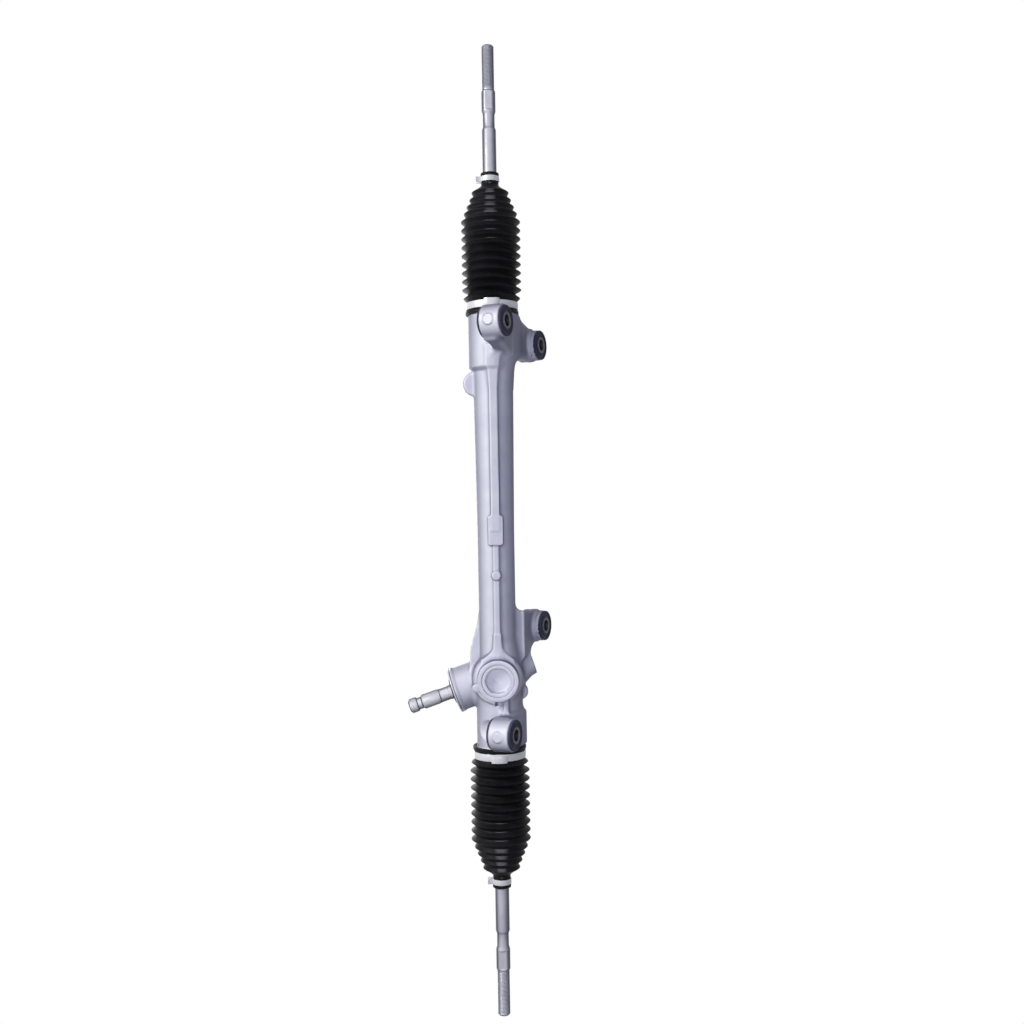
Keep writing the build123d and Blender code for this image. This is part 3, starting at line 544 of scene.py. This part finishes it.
def castingField(p):
    # signed distance, inside negative: the forms joined with fillets, less the bores, which keep crisp edges
    x, y, z = p[:, 0], p[:, 1], p[:, 2]
    up = z - axisHeight * 1000
    out, side = -math.cos(tilt) * y - math.sin(tilt) * up, -math.sin(tilt) * y + math.cos(tilt) * up
    radial = np.hypot(y, up)
    cx = x - crossX * 1000
    body = softUnion(tubeField(x, radial, side), armsField(x, y, z), casting["armFillet"])
    body = addBosses(body, x, y, z)
    # the tower and its lower boss, along the input shaft
    q = p - (shaftFoot * 1000).astype(p.dtype)
    t = q @ shaftWay.astype(p.dtype)
    around = np.hypot(q @ view.astype(p.dtype), q @ np.cross(shaftWay, view).astype(p.dtype))
    field = (around - np.interp(t, *tower["outline"])) * tower["slope"]
    field = softMax(field, slab(t, *tower["span"]), tower["edge"])
    body = softUnion(body, field, tower["fillet"])
    # the web between the tube and the tower
    field = np.maximum((side - np.interp(cx, *web["outline"])) * web["slope"], slab(out, *web["out"]))
    field = softMax(softMax(field, slab(cx, *web["span"]), web["edge"]), -side, web["foot"])
    body = softUnion(body, field, web["fillet"])
    body = addLug(addSpine(body, x, side, out), x, side, out)
    body = addLowForms(addYokeBoss(body, cx, side, out), cx, side, out)
    cuts = [radial - mouth["bore"], np.maximum(radial - mouth["radius"], mouth["start"] - np.abs(x))]
    for (ex, ey), *_ in ears.values():
        fromBolt = np.hypot(x - ex, y - ey)
        rim = fromBolt - boss["radius"] - boss["cutMargin"]
        low, high = boss["faceCut"]
        cuts += [fromBolt - boss["rubber"], np.maximum(rim, high - z), np.maximum(rim, z - low)]
    c = yokeForm
    (place, sideways), (halfLong, halfWide) = c["slit"], c["slitHalf"]
    slit = np.maximum(np.abs(cx - place) - halfLong, np.abs(side - sideways) - halfWide)
    cuts.append(np.maximum(slit, c["slitFloor"] - out))
    cuts += [np.maximum(np.hypot(cx, side) - r, floor - out) for r, floor in c["bores"]]
    cuts += [np.maximum(around - r, slab(t, low, high)) for r, low, high in tower["bores"]]
    for cut in cuts:
        body = np.maximum(body, -cut)
    return body


def netOf(field, low, high, step):
    # surface nets: a vertex in each cell that the surface crosses, at the mean of the crossings on the cell's
    # edges, and a quad round each grid edge that the surface crosses
    sides = [np.arange(low[k], high[k] + step, step, dtype=np.float32) for k in range(3)]
    shape = tuple(len(s) for s in sides)
    values = np.empty(shape, np.float32)
    for i, x in enumerate(sides[0]):
        yy, zz = np.meshgrid(sides[1], sides[2], indexing="ij")
        flat = np.stack([np.full(yy.size, x, np.float32), yy.ravel(), zz.ravel()], -1)
        values[i] = field(flat).reshape(yy.shape)
    inside = values < 0
    count = sum(inside[a:shape[0] - 1 + a, b:shape[1] - 1 + b, c:shape[2] - 1 + c].astype(np.int8)
                for a in (0, 1) for b in (0, 1) for c in (0, 1))
    cells = np.argwhere((count > 0) & (count < 8))
    number = np.full(count.shape, -1, np.int32)
    number[tuple(cells.T)] = np.arange(len(cells))
    total, hits = np.zeros((len(cells), 3)), np.zeros(len(cells))
    for axis in range(3):
        for corner in ((0, 0), (0, 1), (1, 0), (1, 1)):
            offset = np.insert(corner, axis, 0)
            first = cells + offset
            second = first.copy()
            second[:, axis] += 1
            va, vb = values[tuple(first.T)], values[tuple(second.T)]
            crossed = (va < 0) != (vb < 0)
            spot = np.tile(offset.astype(float), (len(cells), 1))
            spot[:, axis] = np.where(crossed, va / np.where(crossed, va - vb, 1), 0)
            total += spot * crossed[:, None]
            hits += crossed
    points = (cells + total / hits[:, None]) * step + np.array([s[0] for s in sides])
    quads = []
    for axis in range(3):
        b, c = (axis + 1) % 3, (axis + 2) % 3
        edges = np.argwhere(np.diff(inside, axis=axis))
        for k in (b, c):
            edges = edges[(edges[:, k] > 0) & (edges[:, k] < shape[k] - 1)]
        ring = []
        for db, dc in ((1, 1), (0, 1), (0, 0), (1, 0)):
            cell = edges.copy()
            cell[:, b] -= db
            cell[:, c] -= dc
            ring.append(number[tuple(cell.T)])
        ring = np.stack(ring, -1)
        outward = inside[tuple(edges.T)]
        ring[~outward] = ring[~outward][:, ::-1]
        quads.append(ring)
    return points, np.concatenate(quads)


def settle(points, field, rounds=2):
    # moves each vertex onto the surface, along the field's slope
    h, leastSlope, farthest = 0.05, 0.25, 0.4

    def at(shift):
        return field((points + shift).astype(np.float32))
    for _ in range(rounds):
        value = at(0)
        slope = np.stack([at(h * e) - at(-h * e) for e in np.eye(3)], -1) / (2 * h)
        size = np.maximum((slope**2).sum(1, keepdims=True), leastSlope)
        points = points - np.clip(value[:, None] * slope / size, -farthest, farthest)
    return points


def edgeMask(points, field, reach=2.5, contrast=1.6):
    # 0.5 on flat faces, more on outer edges and less in hollows: the mean distance a step away on six sides
    mean = sum(field((points + s * reach * e).astype(np.float32)) for e in np.eye(3) for s in (-1, 1)) / 6
    return np.clip(0.5 + mean / reach * contrast, 0, 1)


def makeCasting():
    step = casting["voxel"] * 1
    points, quads = netOf(castingField, casting["low"], casting["high"], step)
    points = settle(points, castingField)
    edge = edgeMask(points, castingField)
    piece = meshFrom("casting", points * mm, quads, None, castAluminium, None, "cast_housing",
                     ["rack_housing"])
    mark = piece.data.attributes.new("edge", "FLOAT", "POINT")
    mark.data.foreach_set("value", edge.astype(np.float32))
    piece.data.set_sharp_from_angle(angle=math.radians(casting["smoothAngle"]))
    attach(piece, "housing")
    print("casting:", len(points), "vertices,", len(quads), "quads")


makeCasting()

# crisp machined rings on the casting: inner and outer radius, from and to along the axis
machinedRings = {
    "proud": 0.06, "bevel": 0.5, "yoke": (18.45, 23, 38.6, 40), "tower": (19.52, 26.2, 49.9, 54),
    "mouth": (19.98, 26.5, 260.5, 262),
}


def makeRings():
    up = machinedRings["proud"]
    rest = {"steps": 96, "slot": "cast_housing", "stands": ["rack_housing"]}
    places = [("yokeBossRing", "yoke", centre + along * crossX, view),
              ("towerMouthRing", "tower", shaftFoot, shaftWay),
              ("mouthRingFar", "mouth", centre, along), ("mouthRingPinion", "mouth", centre, along * -1)]
    for name, size, foot, way in places:
        inner, outer, low, high = machinedRings[size]
        outline = ringOutline(inner, outer + up, low, high + up, machinedRings["bevel"])
        turned(name, outline, foot, way, "housing", machined, **rest)


makeRings()


# mounting bushes
bush = {
    "sleeve": (6.5, 9.5), "rubber": 16, "lip": 17.2, "length": 30, "boss": (3, 27), "groove": (11.6, 14.6),
    "depth": 1.1, "slope": 0.5, "inset": 0.6, "rubberEdge": 0.7, "sleeveEdge": 0.8,
}


def makeBushes():
    c = bush
    inner, outer = c["sleeve"]
    g0, g1 = c["groove"]
    low, high = c["boss"]
    top, inset, slope = c["length"], c["inset"], c["slope"]
    face = [(outer, inset), (g0 - slope, inset), (g0, inset + c["depth"]), (g1, inset + c["depth"]),
            (g1 + slope, inset), (c["lip"], inset)]
    wall = [(c["lip"], low), (c["rubber"], low), (c["rubber"], high), (c["lip"], high)]
    back = [(r, top - z) for r, z in face[::-1]]
    rubber = rounded(face + wall + back, c["rubberEdge"])
    sleeve = ringOutline(inner, outer, 0, top, c["sleeveEdge"])
    for name, (at, *_) in ears.items():
        foot = np.array([*at, 0]) * mm
        up = np.array([0, 0, 1.0])
        turned("bush_" + name, rubber, foot, up, "housing", bushRubber, 96, slot="bush_rubber",
               stands=["mount_rubber_" + name])
        turned("sleeve_" + name, sleeve, foot, up, "housing", darkSteel, 64, slot="sleeve_steel",
               stands=["mount_sleeve_" + name])


makeBushes()
print("bushes made")


# bellows
bellows = {
    "crest": 34, "drops": (6, 6.2, 6.2, 6, 5.6, 5.2, 4.8, 4.4, 4.2, 3.6, 3.2, 3, 3), "firstLoss": 1.5,
    "pitch": 9.75, "first": 265.485, "full": 10, "bend": 12,
    "ends": ((9.25, 3.5), (8, 3.2), (8, 3.3), (8.5, 2.7)), "wall": 1, "least": 8.3, "lip": 30.5,
    "lipWidth": 3.9, "lipEdge": 0.8, "band": 28.75, "seat": 26.55, "start": 246.6, "bandEnd": 261,
    "cuff": 10, "cuffStart": 395.985, "cuffLength": 13.5, "cuffHole": 8.2, "cuffRim": 0.5,
    "clipBed": (3, 9.6), "steps": 112, "cuffSteps": 72, "shares": (0.07, 0.93),
}


def waveOf(a, b, high, low, count=10):
    # from a crest at a to a root at b: r = low + (high - low) (1 - q)^1.5, where q runs from 0 to 1 as
    # sqrt(s^2 + 0.004), so the crest is nearly pointed and the root is round
    s = np.linspace(0, 1, count)
    q = np.sqrt(s**2 + 0.004) - math.sqrt(0.004)
    q = q / q[-1]
    return [(low + (high - low) * (1 - f) ** 1.5, a + (b - a) * k) for f, k in zip(q, s)]


def bellowsOutline():
    c = bellows
    crests = [(c["first"] + k * c["pitch"], c["crest"] - c["firstLoss"] * (k == 0)) for k in range(c["full"])]
    for step, loss in c["ends"]:
        crests.append((crests[-1][0] + step, crests[-1][1] - loss))
    line = waveOf(crests[0][0], c["bandEnd"], crests[0][1], c["band"])[::-1]
    roots = [c["bandEnd"]]
    for (a, high), (b, nextHigh), drop in zip(crests, crests[1:], c["drops"]):
        root, low = (a + b) / 2, (high + nextHigh) / 2 - drop
        roots.append(root)
        line += waveOf(a, root, high, low)[1:] + waveOf(b, root, nextHigh, low)[::-1][1:]
    a, high = crests[-1]
    line += waveOf(a, c["cuffStart"], high, c["cuff"])[1:]
    return np.array(line), roots + [c["cuffStart"]]


def makeBellows(side, label):
    # both ends stay with their bodies; the folds between are cut at their roots into pieces that stay in
    # place, and the bodies and shares of the stroke and tilt listed for each piece are not used
    c = bellows
    way = along * side
    rest = {"slot": "bellows_rubber", "stands": ["bellows_" + label]}
    line, roots = bellowsOutline()
    slide = roots[:c["full"]]
    shares = [0, *np.linspace(*c["shares"], len(slide) - 2), 1]
    cuts = [(slide[k], slide[k + 1], "housing", "rack", *shares[k:k + 2]) for k in range(len(slide) - 1)]
    bend = roots[c["bend"]]
    cuts.append((slide[-1], bend, "rack", "seat_" + label, 0, 1))
    cuts.append((bend, c["cuffStart"], "seat_" + label, "tie_rod_" + label, 0, 1))
    for k, (a, b, first, second, wa, wb) in enumerate(cuts):
        part = line[(line[:, 1] > a - 1e-6) & (line[:, 1] < b + 1e-6)]
        inside = part[::-1] - [c["wall"], 0]
        inside[:, 0] = np.maximum(inside[:, 0], c["least"])
        piece = turned(f"bellows_{label}_{k}", np.concatenate([part, inside]), centre, way, None,
                       bellowsRubber, c["steps"], smoothAngle=70, **rest)
        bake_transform(piece)
    a = c["start"]
    b = a + c["lipWidth"]
    lip = rounded([(c["seat"], a), (c["lip"], a), (c["lip"], b)], c["lipEdge"])[:-4]
    band = [*lip, (c["lip"], a + 3.3), (c["lip"] - 0.5, b), (c["band"], a + 4.8), (c["band"], c["bandEnd"]),
            (c["seat"], c["bandEnd"])]
    turned("bellowsLip_" + label, band, centre, way, "housing", bellowsRubber, c["steps"],
           smoothAngle=40, **rest)
    a, b = c["cuffStart"], c["cuffStart"] + c["cuffLength"]
    low, high = c["clipBed"]
    r, rim = c["cuff"], c["cuff"] + c["cuffRim"]
    cuff = rounded([(c["cuffHole"], a), (r, a), (r, a + low), (r - 0.05, a + low + 0.1), (r - 0.05, a + high),
                    (rim, a + high + 0.6), (rim, b), (c["cuffHole"], b)], 0.5)
    turned("bellowsCuff_" + label, cuff, centre, way, "tie_rod_" + label, bellowsRubber, c["cuffSteps"],
           **rest)


for side, label in bothEnds:
    makeBellows(side, label)
print("bellows made")


# clamps and clips
clamp = {"inner": 28.8, "thickness": 1.2, "start": 252, "width": 8, "earHalf": 0.29, "earHeight": 1.3,
         "tailEnd": 1.25}
clip = {"inner": 10.05, "thickness": 0.9, "start": 399.485, "width": 6, "gap": 3, "ear": 16}


def ribbonSection(thickness, a, b, bevel=0.3):
    return ringOutline(-thickness / 2, thickness / 2, a, b, bevel, 2)


def arc(r, angle):
    return np.stack([r * np.cos(angle), r * np.sin(angle)], -1)


def makeClamp(side, label):
    c = clamp
    inner, outer = c["inner"], c["inner"] + c["thickness"]
    a, b = c["start"], c["start"] + c["width"]
    rest = {"slot": "clamp_steel", "stands": ["large_clamp_" + label]}
    outline = ringOutline(inner, outer, a, b, 0.35)
    turned("clampBand_" + label, outline, centre, along * side, "housing", clampSteel, 128, **rest)
    # the crimped ear stands on the band as a low arch: r = outer + height (1 - (angle / half)^4)
    angle = np.linspace(-c["earHalf"], c["earHalf"], 33)
    r = outer + 0.35 + c["earHeight"] * (1 - (angle / c["earHalf"]) ** 4)
    axes = basis(along * side, view)
    path, section = arc(r, angle), ribbonSection(0.9, a + 1.5, b + 1.6)
    strip("clampEar_" + label, path, section, centre, axes, "housing", clampSteel, **rest)
    # the free end of the band lies over it, beyond the ear
    angle = np.linspace(c["earHalf"] * 0.9, c["tailEnd"], 33)
    path, section = arc(outer + 0.3 + 0 * angle, angle), ribbonSection(0.7, a + 1.0, b - 1.0)
    strip("clampTail_" + label, path, section, centre, axes, "housing", clampSteel, **rest)


def makeClip(side, label):
    c = clip
    r = c["inner"] + c["thickness"] / 2
    opening = math.asin((c["gap"] + c["thickness"] / 2) / r)
    angle = np.linspace(opening, 2 * np.pi - opening, 73)
    # ring round the cuff, open on the left, with both ends bent out into ears
    ring = arc(r, angle)
    reach = np.linspace(c["ear"], ring[0, 0] + 0.8, 9)
    flare = (reach - reach[-1]) / (reach[0] - reach[-1])
    ear = np.stack([reach, ring[0, 1] + 0.9 * flare**2], -1)
    path = np.concatenate([ear, ring, ear[::-1] * [1, -1]])
    section = ribbonSection(c["thickness"], c["start"], c["start"] + c["width"])
    strip("clip_" + label, path, section, centre, basis(along * side, left), "tie_rod_" + label, clampSteel,
          slot="clamp_steel", stands=["small_clip_" + label])


for side, label in bothEnds:
    makeClamp(side, label)
    makeClip(side, label)
print("clamps made")


# tie rods
rod = {
    "ball": 13, "ballAt": 302, "neck": 7, "neckEnd": 323, "shank": 8, "shankStart": 330, "waist": 6.75,
    "waistAt": (459.985, 479.985), "flat": 7, "flatsEnd": 503.485, "thread": 7, "threadDepth": 0.65,
    "threadPitch": 1.5, "threadStep": 0.1875, "chamfer": 1.2, "tip": 556.285,
}


def rodShape(radius, angle, place):
    c = rod
    # two flats for a spanner, facing the viewer and away
    onFlat = np.clip(np.minimum(place - c["waistAt"][1] - 1.5, c["flatsEnd"] - 0.6 - place) / 0.8, 0, 1)
    flat = np.minimum(radius, c["flat"] / np.maximum(np.abs(np.cos(angle)), 0.2))
    radius = radius + (flat - radius) * onFlat
    # helical thread: r = R - depth * |saw|, where saw runs once per pitch and once per turn
    turn = (place / c["threadPitch"] - angle / (2 * np.pi)) % 1
    saw = np.clip(np.abs(2 * turn - 1) * 1.25 - 0.12, 0, 1)
    fade = np.clip((place - c["flatsEnd"] - 2.0) / 3.0, 0, 1) * np.clip((c["tip"] - 0.4 - place) / 1.5, 0, 1)
    return radius - c["threadDepth"] * saw * fade * (place > c["flatsEnd"])


def makeRod(side, label):
    c = rod
    a, b = c["waistAt"]
    swing = np.linspace(-np.pi / 2, math.acos(c["neck"] / c["ball"]), 24)
    outline = [(c["ball"] * math.cos(t), c["ballAt"] + c["ball"] * math.sin(t)) for t in swing]
    outline[0] = (0, outline[0][1])
    outline += [(c["neck"], c["neckEnd"]), (7.2, c["neckEnd"] + 3), (c["shank"], c["shankStart"]),
                (c["shank"], a - 1), (7.8, a), (7.2, a + 1.6), (c["waist"], a + 3), (c["waist"], b - 3),
                (7.2, b - 1.6), (7.8, b), (c["shank"], b + 1)]
    outline += [(c["shank"], x) for x in np.linspace(b + 1.4, c["flatsEnd"] - 0.2, 30)]
    outline += [(c["thread"] + 0.4, c["flatsEnd"] + 0.6), (c["thread"], c["flatsEnd"] + 1)]
    outline += [(c["thread"], x) for x in np.arange(c["flatsEnd"] + 1.2, c["tip"] - 1.3, c["threadStep"])]
    outline += [(c["thread"], c["tip"] - c["chamfer"]), (c["thread"] - c["chamfer"], c["tip"]), (0, c["tip"])]
    turned("rod_" + label, outline, centre, along * side, "tie_rod_" + label, rodSteel, 64, rodShape,
           smoothAngle=48, slot="rod_steel", stands=["tie_rod_" + label])


for side, label in bothEnds:
    makeRod(side, label)
print("tie rods made")


# input shaft lands, seal and yoke cap
shaft = {
    "land": 8.25, "teeth": 36, "stepsPerTooth": 8, "depth": 0.22, "lands": ((73.2, 92.8), (100.3, 108)),
    # the rings are bands of painted shade: radius, from and to along the shaft
    "rings": ((8.12, 70.8, 72.2), (7.12, 93.4, 94.6), (7.12, 98.6, 99.7)),
}
cap = {"outer": 18.4, "start": 29, "end": 39.5, "floor": 32, "hexHalf": 13.5, "edge": 0.6}


def serrated(radius, angle, place):
    # r = R + depth |saw| with one saw per tooth, on the outer points of the outline
    saw = np.abs(2 * ((shaft["teeth"] * angle / (2 * np.pi)) % 1) - 1)
    return radius + np.where(radius > shaft["land"] - 0.01, shaft["depth"] * (saw - 0.1), 0)


def makeShaftLands():
    for k, (a, b) in enumerate(shaft["lands"]):
        outline = [(7.9, a), (8.0, a), (8.26, a + 0.5), (8.26, b - 0.5), (8.0, b), (7.9, b)]
        turned(f"splineLand_{k}", outline, shaftFoot, shaftWay, "pinion", shaftSteel,
               shaft["teeth"] * shaft["stepsPerTooth"], serrated, smoothAngle=30, slot="shaft_steel")
    # painted shade: dark rings on both sides of the lands, where shade falls at their ends
    for k, (r, a, b) in enumerate(shaft["rings"]):
        outline = [(r - 0.4, a), (r, a + 0.15), (r, b - 0.15), (r - 0.4, b)]
        turned(f"shaftShadeRing_{k}", outline, shaftFoot, shaftWay, "pinion", darkSteel, 72, slot="shaft_steel")


def makeSeal():
    outline = rounded([(9.0, 47.5), (14.3, 47.5), (19.4, 47.5), (19.4, 52.8), (15.0, 53.0), (14.4, 56.6),
                       (11.0, 56.9), (9.3, 55.0), (8.6, 55.6), (8.56, 54.4), (9.4, 52.5)], 0.5)
    # dark joint line round the tower's flange
    line = [(25.6, 51.6), (26.4, 51.7), (26.45, 52.1), (26.4, 52.5), (25.6, 52.6)]
    turned("flangeLine", line, shaftFoot, shaftWay, "housing", sealRubber, 128, slot="seal_rubber")
    turned("shaftSeal", outline, shaftFoot, shaftWay, "housing", sealRubber, 96, slot="seal_rubber",
           stands=["pinion_seal"])


def hexagonal(radius, angle, place):
    # the recess is a hexagon with soft corners: r = h / cos(a)^0.35 within each sixth
    sixth = (angle + np.pi / 6) % (np.pi / 3) - np.pi / 6
    inside = (radius > 5) & (radius < cap["hexHalf"] + 1.2)
    return np.where(inside, radius / np.cos(sixth) ** 0.35, radius)


def makeCap():
    c = cap
    r, h, edge, floor, start, end = (c[key] for key in ("outer", "hexHalf", "edge", "floor", "start", "end"))
    outline = [(0, start), (r - edge, start), (r, start + edge), (r, end - edge), (r - edge, end),
               (16.4, end), (h + 1.1, end), (h + 0.6, end - 0.15), (h, end - 1.0), (h, floor + 1.4),
               (h - 0.4, floor + 0.4), (h - 1.4, floor), (h - 1.6, floor), (h - 2.4, floor), (4.5, floor),
               (4.3, floor), (3.8, floor - 0.4), (0, floor - 0.4)]
    turned("yokeCapBody", outline, centre + along * crossX, view, "housing", machined, 96, hexagonal,
           slot="cap_metal", stands=["yoke_cap"])


# lock washers at the rack's ends, thinner than the CAD's, so that they stay clear of the bush ring
washer = {"inner": 8.05, "outer": 16.0, "start": 273.75, "thickness": 1.1, "bevel": 0.3}


def makeWasher(side, label):
    c = washer
    a, b = c["start"], c["start"] + c["thickness"]
    outline = ringOutline(c["inner"], c["outer"], a, b, c["bevel"])
    turned("washer_" + label, outline, centre, along * side, "rack", groundSteel, 72, slot="spring_steel",
           stands=["lock_washer_" + label])


makeShaftLands()
makeSeal()
makeCap()
for side, label in bothEnds:
    makeWasher(side, label)

# the pieces inside keep their CAD shape and take a finish by their slot
finishes = {
    "cast_housing": castAluminium, "plain_bush": bronze, "spring_steel": groundSteel,
    "yoke_metal": machined, "liner_resin": seatResin, "cap_metal": machined, "seal_rubber": sealRubber,
    "bearing_steel": groundSteel, "cage_resin": seatResin, "shaft_steel": shaftSteel,
    "rack_steel": groundSteel, "bush_rubber": bushRubber, "sleeve_steel": darkSteel, "rod_steel": rodSteel,
    "bellows_rubber": bellowsRubber, "clamp_steel": clampSteel,
}
for name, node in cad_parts.items():
    slotName = node.data.materials[0].name.split(".")[0] if node.data.materials else ""
    if slotName not in finishes:
        print("no finish for", name, slotName)
        continue
    node.data.materials.clear()
    node.data.materials.append(finishes[slotName])
print("finishes given")


# camera, lamps and floor, in m
studio = {
    "distance": 1.288, "focal": 39.4, "sensor": 36, "clip": 0.02, "lean": 1.0, "aimX": 0.0205,
    "aimRight": 0.0189, "white": 1.0, "worldLight": 0.05, "worldTint": (0.62, 0.64, 1), "floor": 0.82,
    "floorBounce": (0.16, 0.17, 0.24), "floorRough": 0.9, "floorHalf": 4.0, "floorDrop": 0.022, "glow": 0.7,
    "fade": (0.7, 1.9),
}
# for each lamp: its place to the left, to the camera and along the rack, its size, power and colour
lamps = {
    "keyLamp": ((2.1, 1.45, 1.2), (0.9, 0.9), 54.0, (1, 1, 1)),
    "frontLamp": ((0.08, 1.15, 0), (0.3, 0.3), 2.5, (0.80, 0.82, 1)),
    "backLamp": ((0.45, -1.2, 0), (0.6, 1.6), 9.0, (1, 1, 1)),
}


def aimAt(obj, place, target, up):
    back = place - target
    axes = basis(back, np.cross(up, back))
    obj.matrix_world = Matrix([[*axes[:, k], place[k]] for k in range(3)] + [[0, 0, 0, 1]])


def makeCamera():
    right = -left
    lean = math.radians(studio["lean"])
    target = centre + along * studio["aimX"] + right * studio["aimRight"]
    camera = bpy.data.objects.new("camera", bpy.data.cameras.new("camera"))
    bpy.context.scene.collection.objects.link(camera)
    camera.data.lens = studio["focal"]
    camera.data.sensor_width = studio["sensor"]
    camera.data.clip_start = studio["clip"]
    aimAt(camera, target + view * studio["distance"], target, along * math.cos(lean) + right * math.sin(lean))
    bpy.context.scene.camera = camera


def makeLamps():
    for name, ((toLeft, toCamera, upRack), size, power, colour) in lamps.items():
        lamp = bpy.data.lights.new(name, "AREA")
        lamp.shape = "RECTANGLE"
        lamp.size, lamp.size_y = size
        lamp.energy = power
        lamp.color = colour
        obj = bpy.data.objects.new(name, lamp)
        bpy.context.scene.collection.objects.link(obj)
        aimAt(obj, centre + left * toLeft + view * toCamera + along * upRack, centre, along)


def seenNode(tree):
    # 1 where the camera sees the place: straight, in a mirror or through glass
    path = newNode(tree, "LightPath", {}).outputs
    seen = mathNode(tree, "MAXIMUM", path["Is Camera Ray"], path["Is Glossy Ray"])
    return mathNode(tree, "MAXIMUM", seen, path["Is Transmission Ray"])


def shaderMix(tree, share, first, second):
    return newNode(tree, "MixShader", {"Fac": share, 1: first, 2: second}).outputs[0]


def lightNode(tree, kind, colour, strength):
    return newNode(tree, kind, {"Color": colour, "Strength": strength}).outputs[0]


def makeWorld():
    world = bpy.data.worlds.new("studio")
    bpy.context.scene.world = world
    world.use_nodes = True
    tree = world.node_tree
    tree.nodes.clear()
    plain = lightNode(tree, "Background", studio["worldTint"], studio["worldLight"])
    white = lightNode(tree, "Background", (1, 1, 1), studio["white"])
    newNode(tree, "OutputWorld", {0: shaderMix(tree, seenNode(tree), plain, white)})


def makeFloor():
    # pale floor below the lowest reach of the rod tips; seen from below it isn't there
    side, low = studio["floorHalf"], studio["floorDrop"]
    points = np.array([[-side, -side, -low], [side, -side, -low], [side, side, -low], [-side, side, -low]])
    material, tree, surface = newMaterial("floorPaint", Roughness=studio["floorRough"])
    # the floor is pale where it is seen, also in reflections, and throws little light back up at the object
    seen = seenNode(tree)
    pale = colourMix(tree, seen, studio["floorBounce"], (studio["floor"],) * 3)
    tree.links.new(pale, surface["Base Color"])
    # part of what is seen is its own even glow, and it fades into the white backdrop away from the object
    glow = lightNode(tree, "Emission", (1, 1, 1), 1.0)
    paint = tree.nodes["Principled BSDF"].outputs[0]
    even = shaderMix(tree, mathNode(tree, "MULTIPLY", seen, studio["glow"]), paint, glow)
    place = newNode(tree, "TexCoord", {}).outputs["Object"]
    length = newNode(tree, "VectorMath", {0: place}, operation="LENGTH").outputs["Value"]
    below = newNode(tree, "NewGeometry", {}).outputs["Backfacing"]
    hidden = mathNode(tree, "MAXIMUM", below, spread(tree, length, *studio["fade"]))
    clear = newNode(tree, "BsdfTransparent", {}).outputs[0]
    tree.links.new(shaderMix(tree, hidden, even, clear), tree.nodes["Material Output"].inputs["Surface"])
    floor = meshFrom("floor", points, [[0, 1, 2, 3]], None, material)
    floor.visible_shadow = False


makeCamera()
makeLamps()
makeWorld()
makeFloor()
bpy.context.scene.view_settings.view_transform = "Standard"
